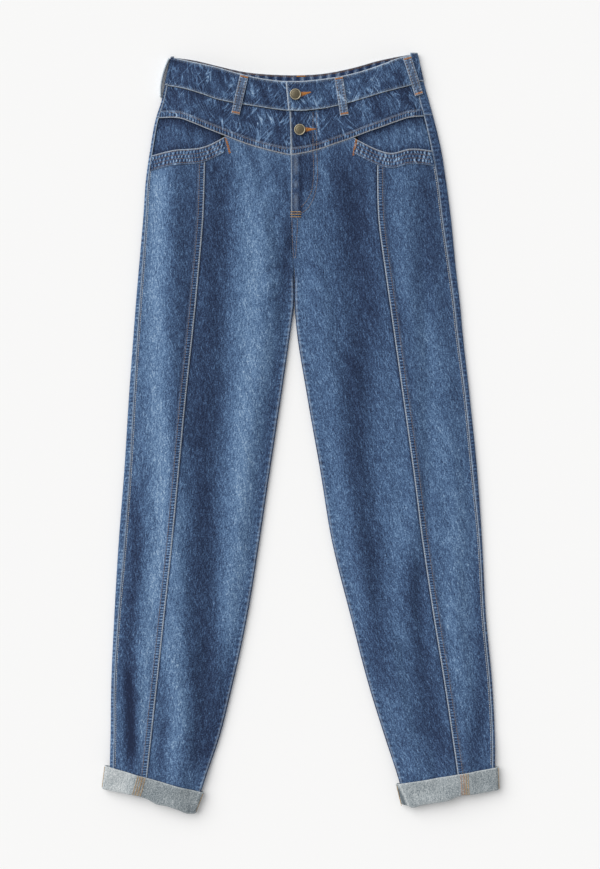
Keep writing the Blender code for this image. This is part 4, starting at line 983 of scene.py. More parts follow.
def backPiece(leg, node, middle, outerY, rowsY, gaps, flatCount, look):
    # along the floor from the centre back or inseam, round the side fold and up to the front's side seam
    under, over = roundTheFold()
    side = leg["side"]
    outerX = outerEdge(leg, outerY)[:, None]
    middleX, middleY = middle[0][:, None], middle[1]
    nearX = middleX + side * np.array(gaps)
    reach = outerX - side * under[0]
    flatX = nearX[:, -1:] + (reach - nearX[:, -1:]) * np.linspace(0, 1, flatCount + 2)[None, 1:-1]
    lowX = np.concatenate([nearX, flatX, outerX - side * under], axis=1)
    lastX = sideSeam(leg, outerY)[:, None] + side * seam["gap"] / 2
    between = outerX - side * over[-1]
    flatFront = between + (lastX - between) * np.array([0.5, 0.8, 1.0])[None, :]
    highX = np.concatenate([outerX - side * over, flatFront], axis=1)
    lowY = rowsY((lowX - middleX) / (outerX - middleX), lowX, middleY, outerY)
    highY = np.repeat(outerY[:, None], highX.shape[1], axis=1)
    toSeam = np.abs(highX - sideSeam(leg, highY))
    offFold = ease((np.abs(highX - outerX) - 1.5) / 2)
    low = withHeight(lowX, lowY, backZ(leg, lowX, lowY) + backCrease(leg, lowX, lowY))
    high = withHeight(highX, highY, frontZ(leg, highX, highY) + pucker(highY, toSeam, 2.6, 0.16) * offFold)
    points = np.concatenate([low, high], axis=1)
    lowFade = 0.25 * np.sin(lowX / 26) + 0.25 * np.sin(lowX / 17 + lowY / 90)
    # on the front strip, half of the leg's bands of fading and painted shade and highlight
    highFadeAndShade = fadeAndShadeAt(highX, highY) * 0.5 + look["strip"] + pucker(highY, toSeam - 4.0, 3.6, 0.7, 4.4)
    fadeAndShade = np.concatenate([lowFade, highFadeAndShade], axis=1) + look["fadeAndShade"]
    wear = np.concatenate([0 * lowX, 0.95 * hump(toSeam - 0.4, 0.9)], axis=1) + look["topWear"] * hump(
        arcs(points, 0), 1.2)
    cloth(node, points, [washedDenim, paleDenim], "denim", wear, fadeAndShade, look["offset"], up=False)


def straight(share, x, middleY, outerY):
    # rows run straight from the middle to the outer end
    return middleY[:, None] + (outerY - middleY)[:, None] * share


def backPanel(leg):
    # from the back yoke to the hem
    look = {"offset": 6.3 if leg is leftLeg else 7.1, "fadeAndShade": 0.0, "topWear": 0.0,
            "strip": -0.35 if leg is leftLeg else 0.1}
    outer, inner = legRows(leg, 300)
    t = np.linspace(0, 1, 80)[:-1]
    crotch = garment["crotchY"]
    outerTop, middleTop = leg["backYokeY"] - seam["gap"], garment["backYokeCentreY"] - seam["gap"]
    outerY = np.concatenate([outerTop + (crotch - outerTop) * t, outer[1]])
    middleY = np.concatenate([middleTop + (crotch - middleTop) * t, inner[1]])
    middleX = np.concatenate([garment["centreBackX"] + leg["side"] * seam["gap"] / 2 + 0 * t, inner[0]])
    backPiece(leg, f"back_{leg['name']}", (middleX, middleY), outerY, straight, turnedIn[::-2], 14, look)


def backTopAt(x):
    # y of the back waistband's top edge, which stays level past the side folds
    return through(backTop, np.clip(x, outerEdge(rightLeg, 500), outerEdge(leftLeg, 500)))


def backYoke(leg):
    # from the back panel's top to the waistband
    look = {"offset": 8.2 if leg is leftLeg else 8.9, "fadeAndShade": -0.1, "strip": -0.1, "topWear": 0.7}
    shares = np.linspace(0, 1, 34)
    waistSide = float(backTopAt(outerEdge(leg, 500))) - garment["bandDepth"] - seam["waistGap"]
    waistCentre = float(backTopAt(garment["centreBackX"])) - garment["bandDepth"] - seam["gap"]
    outerY = leg["backYokeY"] + (waistSide - leg["backYokeY"]) * shares
    middleY = garment["backYokeCentreY"] + (waistCentre - garment["backYokeCentreY"]) * shares
    middleX = garment["centreBackX"] + leg["side"] * seam["gap"] / 2 + 0 * middleY

    def rowsY(share, x, middleY, outerY):
        # straight at the lower edge, and along the waistband at the upper one
        chord = waistCentre + (waistSide - waistCentre) * share
        waist = backTopAt(x) - garment["bandDepth"] - seam["gap"]
        return straight(share, x, middleY, outerY) + (waist - chord) * shares[:, None]

    backPiece(leg, f"back_yoke_{leg['name']}", (middleX, middleY), outerY, rowsY, [0.0, 1.0], 60, look)


def backBand():
    # the back waistband: from the right side seam round both folds to the left one
    look = {"offset": 9.7, "fadeAndShade": -0.1, "wear": 0.7}
    shares, proud = evenShares(39.0, 1.3, [0, 0.5, 1.1, 2.2, 3.2, 4.2]), fold["bandProud"]
    topEdge = (1 - shares[:, None]) * garment["bandDepth"]
    under, over = roundTheFold(proud)
    centreX = garment["centreBackX"]
    halves = []
    for leg in legs:
        side = leg["side"]
        outerY = float(backTopAt(outerEdge(leg, 500))) - topEdge[:, 0]
        outerX = outerEdge(leg, outerY)[:, None] + side * proud / 2
        reach = outerX - side * under[0]
        flatX = centreX + (reach - centreX) * np.linspace(0, 1, 122)[None, 1:-1]
        lowX = np.concatenate([flatX, outerX - side * under], axis=1)
        inset = side * (outerEdge(leg, outerY) - sideSeam(leg, outerY))[:, None] + proud / 2 - seam["gap"] / 2
        between = outerX - side * over[-1]
        flatFront = between + (outerX - side * inset - between) * np.array([0.5, 0.8, 1.0])
        highX = np.concatenate([outerX - side * over, flatFront], axis=1)
        lowY = backTopAt(lowX) - topEdge
        highY = np.repeat(outerY[:, None], highX.shape[1], axis=1)
        ruffle = np.maximum(pucker(lowX, topEdge - 6.0, 7.0, 1.0, 12.3), 0)
        relief = (0.35 * hump(topEdge - 3.4, 0.8) + 0.3 * ruffle) * ease((np.abs(lowX - outerX) - 6) / 6)
        low = withHeight(lowX, lowY, backZ(leg, lowX, lowY, proud) + relief)
        high = withHeight(highX, highY, frontZ(leg, highX, highY, proud))
        halves.append(np.concatenate([low, high], axis=1))
    middle = withHeight(centreX + 0 * shares, backTopAt(centreX) - topEdge[:, 0], 0 * shares)[:, None, :]
    points = np.concatenate([halves[0][:, ::-1], middle, halves[1]], axis=1)
    down = arcs(points, 0)
    x, under = points[:, :, 0], down[-1:] - down
    fadeAndShade = 0.2 * np.sin(x / 19) + 0.6 * np.sin(2 * np.pi * x / 12.3) * (under < 9) + look["fadeAndShade"]
    wear = look["wear"] * (hump(down, 1.2) + hump(under, 1.3))
    cloth("waistband_back", points, [seamDenim, insideDenim], "band", wear, fadeAndShade, look["offset"], up=False)


for leg in legs:
    backPanel(leg)
    backYoke(leg)
backBand()
print("back: panels, yokes and waistband made")

cuffRound = 6.6  # radius of the cuff's rolled ends, in mm


def cuffDepth(leg):
    # from the top edge to the lower one, down the cuff's outer end
    return math.dist(leg["cuff"]["top"][0], leg["cuff"]["bottom"][0])


def cuffRings(leg, down, inset, topShares, lowShares):
    # closed rings round the cuff, at distances down from its top edge and in from its outside
    tops, lows = np.array(leg["cuff"]["top"]), np.array(leg["cuff"]["bottom"])
    down, inset = np.asarray(down, float), np.asarray(inset, float)
    share = (down / cuffDepth(leg))[:, None]
    outer, inner = (tops[k] + (lows[k] - tops[k]) * share for k in (0, 1))
    width = np.linalg.norm(inner - outer, axis=1)[:, None]
    along = (inner - outer) / width
    radius = (cuffRound - inset)[:, None]
    end = inset[:, None] + radius * (1 - np.cos(np.radians(np.linspace(0, 90, 10))))
    topReach = np.concatenate([end, width * topShares, (width - end)[:, ::-1]], axis=1)
    lowReach = np.concatenate([(width - end)[:, 1:], width * lowShares, end[:, :0:-1]], axis=1)
    reach = np.concatenate([topReach, lowReach], axis=1)
    over = np.arange(reach.shape[1])[None, :] < topReach.shape[1]
    place = outer[:, None, :] + along[:, None, :] * reach[:, :, None]
    x, y = place[:, :, 0], place[:, :, 1]
    side = np.minimum(reach, width - reach) - inset[:, None]
    arc = np.sqrt(np.maximum(radius**2 - (radius - np.minimum(side, radius)) ** 2, 0))
    middle = ease((side - cuffRound) / 8)
    high = cuffRound + arc + bulge(leg, x, y, 0.6) + seam["fellHeight"] * middle
    return x, y, np.where(over, high, cuffRound - arc), over, middle, reach / width


def grooveAt(x, y):
    # distance across the groove at the left cuff's open inner end, and how far it is open there
    return (x - 136.5) * 0.92 + (y + 492) * 0.40, ease((-486 - y) / 3)


def cuffSurface(leg, down, inset, topShares, lowShares):
    # the rings with the lower edge's wave and a soft rumple on the front
    depthShare = (np.asarray(down, float) / cuffDepth(leg))[:, None]
    x, y, z, over, middle, share = cuffRings(leg, down, inset, topShares, lowShares)
    out = ease(1 - np.asarray(inset, float) / 2.0)[:, None]
    wave = through(leg["cuffWave"], share) * depthShare**2
    rumple = 0.45 * np.sin(share * 20 + 3 * depthShare) + 0.3 * np.sin(share * 9.5 - 5 * depthShare)
    z = z + np.where(over, out * middle * (rumple + 0.4 * hump(depthShare - 0.82, 0.1)), 0)
    if leg is leftLeg:
        across, opened = grooveAt(x, y)
        z = z - np.where(over, 2.6 * out * hump(across, 2.0) * opened, 0)
    return x, y + wave, z, over, share, depthShare


def cuff(leg):
    # rings from the top edge down the outside, round the roll and up the inside, closed into a solid
    look = {"offset": 10.4 if leg is leftLeg else 11.2, "topWear": 0.5, "lowWear": 0.35}
    depth = cuffDepth(leg)
    outside = [(0.3, 1.9), (0.0, 1.2), (0.1, 0.5), (0.6, 0.05)]
    outside += [(d, 0.0) for d in np.linspace(1.6, depth - 3.0, 18)]
    roll = [(depth - 1.9, 0.1), (depth - 1.0, 0.5), (depth - 0.35, 1.2), (depth, 2.2), (depth - 0.2, 3.4)]
    inside = [(depth - 0.8, 4.2), (depth - 1.9, 4.2), (depth - 2.4, 3.4), (depth - 2.4, wall["cuff"])]
    inside += [(depth * 0.5, wall["cuff"]), (0.9, wall["cuff"])]
    down, inset = np.array(outside + roll + inside).T
    x, y, z, over, share, depthShare = cuffSurface(
        leg, down, inset, np.linspace(0.06, 0.94, 88), np.linspace(0.94, 0.06, 40))
    wear = look["topWear"] * hump(down, 1.3) + look["lowWear"] * hump(down - depth, 1.6)
    wear = wear[:, None] + 0 * z
    fadeAndShade = through(leg["cuffTone"], share) + 0.15 * np.sin(share * 13 + 6 * depthShare)
    fadeAndShade = fadeAndShade - 0.6 * (inset[:, None] > 2.4)
    if leg is leftLeg:
        across, opened = grooveAt(x, y)
        # painted shade in the open hollow at the left cuff's inner end
        fadeAndShade = fadeAndShade - 3.0 * hump(across, 1.8) * over * opened
        wear = wear * (1 - hump(across, 2.5)) + 0.6 * hump(across - 4.2, 1.2) * over
    points, wear, fadeAndShade = (np.concatenate([part, part[:1]]) for part in (withHeight(x, y, z), wear, fadeAndShade))
    piece = gridPiece(f"jeans_cuff_{leg['name']}", points, [paleDenim], closed=True, wear=wear, fadeAndShade=fadeAndShade,
                      offset=look["offset"])
    weld(piece)
    belong(piece, "denim_wrong_side", f"cuff_{leg['name']}")


for leg in legs:
    cuff(leg)
print("cuffs made")

loops = {
    "belt_loop_front_right": ((-76.0, 490.0), (-88.4, 436.5)),
    "belt_loop_front_left": ((52.6, 487.5), (60.8, 435.0)),
    "belt_loop_side_left": ((146.5, 516.0), (163.3, 464.0)),
}
loopHalf = 5.75  # half of a belt loop's width, in mm


def loopSurface(ends, t, s):
    # a strip over the waistband: t runs along it from 0 to 1, s across it from -1 to 1
    (x0, y0), (x1, y1) = ends
    leg = leftLeg if x0 > 0 else rightLeg
    way = np.array([y0 - y1, x1 - x0]) / math.dist(*ends) * loopHalf
    x = x0 + (x1 - x0) * t + way[0] * s
    y = y0 + (y1 - y0) * t + way[1] * s
    onBand = ease((y - through(waistSeam, x) + 3.5) / 3)
    base = frontZ(leg, x, y, fold["bandProud"]) - fold["bandProud"] * (1 - onBand)
    return x, y, base + seam["gap"] + wall["loop"] + 1.3 * np.sin(np.pi * t) ** 2


def beltLoop(name, ends):
    # a strip half flattened to each row's highest point, with a stitch furrow and puckers at both edges
    look = {"offset": 12.0 + 0.6 * len(name) % 3, "fadeAndShade": 0.40, "wear": 0.10}
    t = np.concatenate([[0, 0.012, 0.03], np.linspace(0.05, 0.95, 56), [0.97, 0.988, 1.0]])[:, None]
    s = np.array([-1, -0.93, -0.8, -0.62, -0.42, -0.2, 0, 0.2, 0.42, 0.62, 0.8, 0.93, 1])[None, :]
    x, y, z = loopSurface(ends, t, s)
    z = z.max(axis=1, keepdims=True) * 0.5 + z * 0.5
    fromRow = np.abs(s) - 0.62
    pinch = np.sin(2 * np.pi * t * math.dist(*ends) / 4.0 + 1.1 * np.sin(9 * t)) * hump(fromRow, 0.3)
    z = z - 0.25 * hump(fromRow, 0.10) - 0.4 * np.abs(s) ** 6 + 0.3 * pinch
    wear = 0.85 * hump(np.abs(s) - 1, 0.08) + look["wear"] + 0.35 * hump(t, 0.03) + 0.35 * hump(t - 1, 0.03)
    # paler on the pinched ridges and darker in their dips: partly rubbing, partly painted highlight and shade
    fadeAndShade = look["fadeAndShade"] + 1.0 * pinch - 0.7 * hump(s, 0.25) - 0.8 * hump(np.abs(s) - 0.86, 0.06)
    cloth(name, withHeight(x, y, z), [seamDenim], "loop", wear, fadeAndShade, look["offset"])


def sideLoop():
    # the loop on the right side fold stands on edge and bows out by a half sine to the power 0.8
    look = {"offset": 13.1, "fadeAndShade": 1.6, "wear": 1.0}
    t = np.linspace(0, 1, 50)[:, None]
    s = np.array([-1, -0.9, -0.7, -0.4, 0, 0.4, 0.7, 0.9, 1])[None, :]
    y = 515.0 + (462.0 - 515.0) * t
    close = fold["bandProud"] / 2 + seam["gap"] + wall["loop"]
    x = outerEdge(rightLeg, y) - close - 3.6 * np.sin(np.pi * t) ** 0.8
    points = withHeight(x + 0.3 * np.abs(s) ** 6, y, 5.3 + s * 5.0)
    piece = cloth("belt_loop_side_right", points, [seamDenim], "loop", look["wear"], look["fadeAndShade"], look["offset"])
    turnOut(piece, (-1, 0, 0))


for name, ends in loops.items():
    beltLoop(name, ends)
sideLoop()
print("belt loops made")

buttons = {
    "button_waistband": {"place": (-6.2, 462.8), "ground": 3.0, "proud": 1.5},
    "button_yoke": {"place": (-0.3, 415.0), "ground": 2.2, "proud": 0.0},
}
buttonProfile = (  # distance from the axis in mm, height, how far it is rubbed bright
    (0.0, 4.05, 0.1), (1.4, 4.03, 0.1), (2.8, 3.96, 0.12), (4.2, 3.84, 0.15), (5.2, 3.70, 0.2),
    (5.7, 3.52, 0.05), (5.95, 3.50, 0.0), (6.15, 3.62, 0.3), (6.45, 3.86, 0.8), (6.85, 3.96, 1.0),
    (7.25, 3.88, 0.9), (7.6, 3.60, 0.6), (7.8, 3.20, 0.3), (7.74, 2.75, 0.1), (7.4, 2.4, 0.0),
    (6.2, 2.15, 0.0), (4.4, 2.0, 0.0), (3.2, 1.8, 0.0), (2.95, 1.2, 0.0), (2.9, 0.0, 0.0), (0.0, 0.0, 0.0),
)


def button(name, spec):
    # the profile turned about its axis; two closed poles
    x, y = spec["place"]
    ground = float(frontZ(leftLeg, x, y, spec["proud"])) + spec["ground"] + seam["gap"]
    r, up, rubbed = np.array(buttonProfile).T
    turn = np.linspace(0, 2 * np.pi, 56, endpoint=False)[None, :]
    ring = withHeight(x + r[:, None] * np.cos(turn), y + r[:, None] * np.sin(turn), ground + up[:, None])
    piece = gridPiece(f"jeans_{name}", ring, [brass], closed=True)
    bright = np.repeat(rubbed, turn.size).astype(np.float32)
    piece.data.attributes.new("rubbed", "FLOAT", "POINT").data.foreach_set("value", bright)
    turnOut(piece, (0, 0, 1), turn.size)
    weld(piece)
    belong(piece, "antique_brass", name)


for name, spec in buttons.items():
    button(name, spec)
print("buttons made")


def walk(points, pitch):
    # places at an even pitch along a line of (x, y) points
    reach = arcs(points, 0)
    at = np.arange(pitch / 2, reach[-1], pitch)
    return np.stack([np.interp(at, reach, points[:, k]) for k in (0, 1)], axis=1)


# thread sizes in mm: the pitch and length of a stitch, the thread's radius and the height of its arch
seamThread = {"pitch": 3.0, "length": 2.3, "width": 0.42, "arch": 0.42}
tackThread = {"pitch": 2.4, "length": 2.8, "width": 0.62, "arch": 0.5}
markThread = {**tackThread, "width": 0.85}
edgeThread = {"pitch": 2.2, "length": 2.0, "width": 0.5, "arch": 0.4}
barThread = {"width": 0.45, "arch": 0.45}
netThread = {"width": 0.20, "arch": 0.25}
chainThread = {"width": 0.52, "arch": 0.35}
threadRings, threadSides = 4, 5  # points along a stitch and round it


def stitchMesh(name, centres, ways, sizes, look):
    # one small bent tube of a few faces for each stitch
    side = np.cross(ways, np.array([0, 0, 1.0]))
    side = side / np.linalg.norm(side, axis=1, keepdims=True)
    u = np.linspace(-0.5, 0.5, threadRings)
    angle = np.linspace(0, 2 * np.pi, threadSides, endpoint=False)
    girth = sizes["width"] * np.sqrt(np.maximum(1 - (1.75 * u) ** 2, 0.12))
    rise = sizes["arch"] * (1 - (2 * u) ** 2) - 0.12
    body = (
        centres[:, None, None, :] + ways[:, None, None, :] * u[None, :, None, None]
        + side[:, None, None, :] * (girth[:, None] * np.cos(angle)[None, :])[None, :, :, None]
        + np.array([0, 0, 1.0]) * (rise[:, None] + girth[:, None] * np.sin(angle)[None, :])[None, :, :, None]
    )
    index = np.arange(body.size // 3).reshape(body.shape[:3])
    turned = np.roll(index, -1, axis=2)
    quads = np.stack([index[:, :-1], index[:, 1:], turned[:, 1:], turned[:, :-1]], axis=-1).reshape(-1, 4)
    caps = np.concatenate([index[:, 0], index[:, -1, ::-1]])
    mesh = bpy.data.meshes.new(name)
    mesh.from_pydata(metres(body.reshape(-1, 3)).tolist(), [], quads.tolist() + caps.tolist())
    mesh.shade_smooth()
    mesh.materials.append(look)
    belong(putIn(name, mesh), "topstitch_thread")


def stitches(name, rows, look, sizes=seamThread):
    # each stitch is a small arch that dips into the cloth at both ends; rows holds (line, height function)
    centres, ways = [], []
    for line, heightAt in rows:
        at = walk(line, sizes["pitch"])
        step = np.gradient(at, axis=0) if len(at) > 1 else np.array([[0.0, 1.0]])
        step = step / np.linalg.norm(step, axis=1, keepdims=True) * sizes["length"]
        low, high = at - step / 2, at + step / 2
        centres.append(np.column_stack([at, heightAt(*at.T)]))
        ways.append(np.column_stack([step, heightAt(*high.T) - heightAt(*low.T)]))
    stitchMesh(name, np.vstack(centres), np.vstack(ways), sizes, look)


def zigzag(start, end, pitch, widths, heightAt, slant=0.6):
    # stitches across the line from start to end, leaning to and fro; widths at its start and end
    start, end = np.array(start, float), np.array(end, float)
    length = np.linalg.norm(end - start)
    along = (end - start) / length
    across = np.array([-along[1], along[0]])
    reach = np.arange(pitch / 2, length, pitch)
    at = start + along * reach[:, None]
    lean = along * (slant * np.where(np.arange(len(reach)) % 2, 1.0, -1.0))[:, None] * pitch
    half = (across * (widths[0] + (widths[1] - widths[0]) * reach / length)[:, None] + lean) / 2
    rise = heightAt(*(at + half).T) - heightAt(*(at - half).T)
    return np.column_stack([at, heightAt(*at.T)]), np.column_stack([2 * half, rise])


def gather(name, parts, look, sizes=barThread):
    # one mesh from several lots of stitches
    centres, ways = (np.vstack([part[k] for part in parts]) for k in (0, 1))
    stitchMesh(name, centres, ways, sizes, look)


def on(surface, leg):
    # the height function of one of a leg's surfaces
    return lambda x, y: surface(leg, x, y)


def seamLine(curve, leg, top, low, shift):
    # points every 6 mm down a seam, shifted sideways
    y = np.arange(top, low, -6.0)
    return np.column_stack([curve(leg, y) + shift, y])


def acrossLine(table, x0, x1, shift):
    # points every 3 mm along a table's curve, shifted up
    x = np.arange(x0, x1, 3.0)
    return np.column_stack([x, through(table, x) + shift])


def legStitching(leg):
    # pale worn rows at the seams' edges and brown rows on the outer side of the panel seam
    top = float(through(leg["pocketEdge"], panelSeam(leg, 380))) - 22
    sideTop = float(through(leg["pocketEdge"], sideSeam(leg, 380))) - 22
    low = float(cuffLine(leg, "top", panelSeam(leg, -480))) - 2
    sideLow = float(cuffLine(leg, "top", sideSeam(leg, -460))) - 2
    onSide, side = on(sideZ, leg), leg["side"]
    pale = [(seamLine(panelSeam, leg, top, low, side * 1.4), onSide),
            (seamLine(sideSeam, leg, sideTop, sideLow, -side * 1.5), onSide)]
    brown = [(seamLine(panelSeam, leg, top, low, side * 7.4), onSide)]
    stitches(f"jeans_stitching_edges_{leg['name']}", pale, paleThread)
    stitches(f"jeans_stitching_fells_{leg['name']}", brown, tanThread)


def waistStitching():
    # rows along the yokes, the pockets and the waistband, and one down the waistband's free end
    rows, bandRows, edge = [], [], 3.4
    for leg in legs:
        out, pocketOut, tip = float(sideSeam(leg, 450)), float(sideSeam(leg, 385)), leg["pocketTip"]
        mid, end = float(through(flyEdge, 430)), float(through(bandEnd, 460))
        yoke, band, pocket = (out + 8, mid - 2), (out + 8, end - 2), (pocketOut + 2, tip - 2)
        if leg is leftLeg:
            yoke, band, pocket = (mid + 3, out - 4), (end + 3, out - 6), (tip + 2, pocketOut - 2)
        rows += [(acrossLine(yokeSeam, *yoke, shift), on(yokeZ, leg)) for shift in yokeRows]
        bandRows += [(acrossLine(waistSeam, *band, 3.2), on(bandZ, leg)),
                     (acrossLine(frontTop, *band, -edge), on(bandZ, leg))]
        rows += [(acrossLine(leg["pocketEdge"], *pocket, -down), on(pocketBandZ, leg)) for down in pocketRows]
    endY = np.linspace(444, 477, 12)
    bandRows.append((np.column_stack([through(bandEnd, endY) + edge, endY]), on(bandZ, leftLeg)))
    stitches("jeans_stitching_waistband", bandRows, blueThread)
    stitches("jeans_stitching_waist", rows, tanThread)


flyStitch = {  # the curved double row beside the fly and the rows below the bar tack, as (x, y) points
    "outer": ((22.9, 440), (22.9, 390), (22.9, 340), (21.2, 331), (15.8, 316), (5.5, 303.5), (-2.7, 300)),
    "inner": ((17.8, 440), (17.8, 390), (17.8, 343), (15.8, 332), (10.3, 320), (1.4, 309)),
    "centre": ((-11.0, 294), (-10.4, 266), (-8.6, 239)),
    "centreSecond": ((-3.3, 294), (-4.4, 266), (-6.4, 239)),
}


def smoothLine(points, count=60):
    # a cubic through the points, by their running length
    points = np.array(points, float)
    reach = arcs(points, 0)
    at = np.linspace(0, reach[-1], count)
    return np.stack([through(list(zip(reach, points[:, k])), at) for k in (0, 1)], axis=1)


def onFly(x, y):
    # the left yoke's face above its seam, and the centre panel's below
    return np.where(y > through(yokeSeam, x), yokeZ(leftLeg, x, y), centreZ(leftLeg, x, y))


stitches("jeans_stitching_fly", [(smoothLine(line), onFly) for line in flyStitch.values()], tanThread)
waistStitching()
for leg in legs:
    legStitching(leg)
print("stitching made")


def onPocketTip(leg):
    # the pocket band's face, and the centre panel's past the pocket's tip
    return lambda x, y: np.where(
        (x - leg["pocketTip"]) * leg["side"] > 0, pocketBandZ(leg, x, y), centreZ(leg, x, y))


def onLoop(ends):
    # height of a belt loop at any place near its line
    (x0, y0), (x1, y1) = ends
    length = math.dist(*ends)

    def heightAt(x, y):
        # half the highest of the loop's middle and edges, and half its own height there
        t = ((x - x0) * (x1 - x0) + (y - y0) * (y1 - y0)) / length**2
        s = ((x - x0) * (y0 - y1) + (y - y0) * (x1 - x0)) / length / loopHalf
        levels = np.stack([loopSurface(ends, t, k + 0 * s)[2] for k in (-1, 0, 1)])
        return 0.5 * levels.max(axis=0) + 0.5 * loopSurface(ends, t, s)[2]
    return heightAt


def tacks():
    # dense zigzag bars: at the pocket tips and buttonholes in orange, at the loops' ends in brown
    orange = [
        zigzag((-101.7, 404.8), (-95.9, 383.5), 1.5, (3.6, 3.6), onPocketTip(rightLeg)),
        zigzag((77.4, 402.1), (72.5, 380.5), 1.5, (3.6, 3.6), onPocketTip(leftLeg)),
        zigzag((1.2, 463.2), (15.6, 466.4), 0.9, (7.2, 1.0), on(bandZ, leftLeg), 0.3),
        zigzag((7.3, 415.4), (21.5, 416.6), 0.9, (7.0, 1.0), on(yokeZ, leftLeg), 0.3),
    ]
    gather("jeans_tacks_orange", orange, orangeThread)
    brown, loopRows = [], []
    for ends in loops.values():
        a, b = np.array(ends, float)
        along = (b - a) / np.linalg.norm(b - a)
        across = np.array([-along[1], along[0]])
        for share in (0.045, 0.955):
            middle = a + (b - a) * share
            brown.append(zigzag(middle - across * 5.2, middle + across * 5.2, 1.2, (2.8, 2.8), onLoop(ends)))
        for shift in (-3.7, 3.7):
            line = np.stack([a + (b - a) * share + across * shift for share in (0.09, 0.91)])
            loopRows.append((line, onLoop(ends)))
    gather("jeans_tacks_loops", brown, orangeThread)
    stitches("jeans_stitching_loops", loopRows, tanThread)
    bar = [(np.array([(-13.0, y), (0.6, y)]), onFly) for y in (303.2, 299.8, 296.4)]
    stitches("jeans_tack_fly", bar, goldThread, tackThread)


def onBackBand(x, y):
    # the inside of the back waistband, which shows above the front
    left, right = (backZ(leg, x, y, fold["bandProud"]) for leg in (leftLeg, rightLeg))
    return np.where(x > 0, left, right) + wall["band"] + 0.1


def insideStitching():
    # the brown row that closes the back waistband's top edge, and one thick orange stitch in its middle
    x = np.arange(float(outerEdge(rightLeg, 516)) + 12, float(outerEdge(leftLeg, 516)) - 12, 4.0)
    lines = [(np.column_stack([x, backTopAt(x) - shift]), onBackBand) for shift in (0.9, 2.3)]
    stitches("jeans_stitching_back_band", lines, brownThread, edgeThread)
    dash = [(np.array([(-4.5, 491.0), (6.5, 491.2)]), onBackBand)]
    stitches("jeans_stitching_back_mark", dash, orangeThread, markThread)


def overlock(leg):
    # the overlocked seam allowance that the rolled cuff shows: a looped column and a chain row beside it
    depth, lock = cuffDepth(leg), leg["overlock"]
    down = np.arange(1.2, depth - 0.8, 1.9)
    t = down / depth
    middle = lock["at"][0] * (1 - t) + lock["at"][1] * t
    half = (lock["width"][0] * (1 - t) + lock["width"][1] * t) / 2 / 140.0
    shares = np.linspace(0.1, 0.9, 321)

    def place(share, at):
        # the nearest column's place on the cuff's face, past the 10 columns of its rolled end
        x, y, z, *_ = cuffSurface(leg, at, 0 * at, shares, shares[:2])
        rows = np.arange(len(at))
        column = 10 + np.clip(np.round((share - 0.1) / 0.8 * 320), 0, 320).astype(int)
        return np.column_stack([x[rows, column], y[rows, column], z[rows, column]])

    lean = 0.4 * np.where(np.arange(len(down)) % 2, 1, -1)
    a, b = place(middle - half, down + lean), place(middle + half, down - lean)
    net = ((a + b) / 2 + [0, 0, 0.05], b - a)
    inner, outer = [], []
    for k in (-1, -0.4, 0.25, 1):
        a, b = place(middle + k * half, down - 0.85), place(middle + k * half, down + 0.85)
        (inner if k > 0 else outer).append(((a + b) / 2 + [0, 0, 0.25], b - a))
    innerThread = goldThread if leg is rightLeg else pinkTanThread
    gather(f"jeans_overlock_loops_{leg['name']}", [net], goldThread, netThread)
    gather(f"jeans_overlock_outer_{leg['name']}", outer, goldThread, chainThread)
    gather(f"jeans_overlock_inner_{leg['name']}", inner, innerThread, chainThread)


def cuffEnds(leg):
    # a gold edge row down each rolled end of the cuff
    lines = []
    for k, inwards in ((0, 1), (1, -1)):
        top, low = np.array(leg["cuff"]["top"][k]), np.array(leg["cuff"]["bottom"][k])
        shift = np.array([leg["side"] * inwards * -0.9, 0])
        line = np.stack([top + shift + (low - top) * 0.05, low + shift - (low - top) * 0.05])
        lines.append((line, lambda x, y: cuffRound + 3.4 + 0 * x))
    stitches(f"jeans_stitching_cuff_ends_{leg['name']}", lines, goldThread, edgeThread)


tacks()
insideStitching()
for leg in legs:
    overlock(leg)
    cuffEnds(leg)
print("tacks, buttonholes and overlocked seams made")


def floorPiece():
    # a matt pale paper floor
    mesh = bpy.data.meshes.new("floor")
    reach, level = 6.0, -0.0004
    corners = ((-reach, -reach), (reach, -reach), (reach, reach), (-reach, reach))
    mesh.from_pydata([(x, y, level) for x, y in corners], [], [(0, 1, 2, 3)])
    paper, _, _ = newMaterial("pale_paper", {
        "Base Color": linear("#f6f6f6"), "Roughness": 1.0, "Specular IOR Level": 0.0})
    mesh.materials.append(paper)
    putIn("floor", mesh)


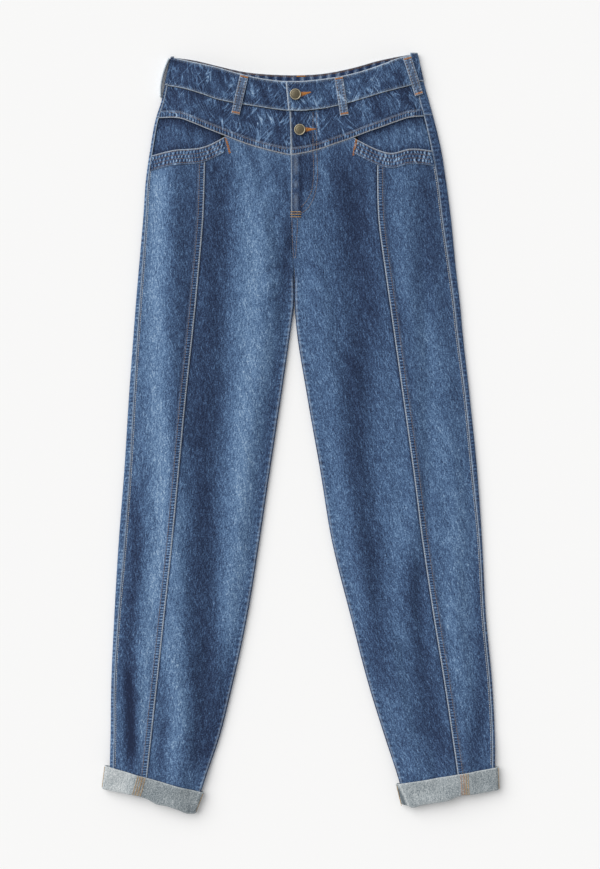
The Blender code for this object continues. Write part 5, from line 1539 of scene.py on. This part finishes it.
def studio():
    # an even white sky, one distant broad lamp and the camera straight above
    look = {"sky": 0.50, "key": 2.36, "spread": 60.0, "lens": 85.0}
    world = bpy.data.worlds.new("studio")
    world.use_nodes = True
    sky = world.node_tree.nodes["Background"].inputs
    sky["Color"].default_value = (1, 1, 1, 1)
    sky["Strength"].default_value = look["sky"]
    bpy.context.scene.world = world
    lamp = bpy.data.lights.new("key", "SUN")
    lamp.energy = look["key"]
    lamp.angle = math.radians(look["spread"])
    lamp.color = (1.0, 0.995, 0.985)
    away = np.array([-1.8, 1.4, 2.2]) / np.linalg.norm([-1.8, 1.4, 2.2])
    key = putIn("key", lamp)
    key.location = away * 3
    key.rotation_euler = (math.acos(away[2]), 0, math.atan2(away[0], -away[1]))
    bpy.context.scene.view_settings.view_transform = "Standard"
    lens = bpy.data.cameras.new("camera")
    lens.lens = look["lens"]
    lens.sensor_width = 36.0
    camera = putIn("camera", lens)
    camera.location = (-0.00083, -0.00265, 2.823)
    bpy.context.scene.camera = camera


floorPiece()
studio()
print("floor, lights and camera ready")

# The cut of each cloth piece, laid flat: width and length of its box and its own area in metres, and
# what it rests on. A cuff's cut is what shows of it, all round.
cuts = {
    "back_right": (0.229, 0.923, 0.1852, "floor"),
    "back_left": (0.242, 0.925, 0.1932, "floor"),
    "back_yoke_right": (0.202, 0.088, 0.0098, "floor"),
    "back_yoke_left": (0.213, 0.090, 0.0106, "floor"),
    "waistband_back": (0.389, 0.039, 0.0146, "floor"),
    "front_centre_right": (0.138, 0.912, 0.1084, "back_right"),
    "front_centre_left": (0.137, 0.907, 0.1079, "back_left"),
    "front_side_right": (0.082, 0.893, 0.0607, "back_right"),
    "front_side_left": (0.091, 0.893, 0.0683, "back_left"),
    "front_yoke_right": (0.195, 0.098, 0.0092, "back_yoke_right"),
    "front_yoke_left": (0.190, 0.100, 0.0090, "back_yoke_left"),
    "waistband_front_right": (0.201, 0.041, 0.0078, "waistband_back"),
    "waistband_front_left": (0.185, 0.040, 0.0071, "waistband_back"),
    "pocket_facing_right": (0.102, 0.065, 0.0044, "back_right"),
    "pocket_facing_left": (0.109, 0.064, 0.0046, "back_left"),
    "pocket_band_right": (0.115, 0.022, 0.0022, "front_side_right"),
    "pocket_band_left": (0.123, 0.022, 0.0024, "front_side_left"),
    "cuff_right": (0.300, 0.033, None, "floor"),
    "cuff_left": (0.301, 0.033, None, "floor"),
    "belt_loop_front_right": (0.012, 0.056, None, "waistband_front_right"),
    "belt_loop_front_left": (0.012, 0.054, None, "waistband_front_left"),
    "belt_loop_side_left": (0.012, 0.056, None, "waistband_front_left"),
    "belt_loop_side_right": (0.0102, 0.055, None, "waistband_back"),
}
for name, (width, length, area, under) in cuts.items():
    under = under if under == "floor" else f"jeans_{under}"
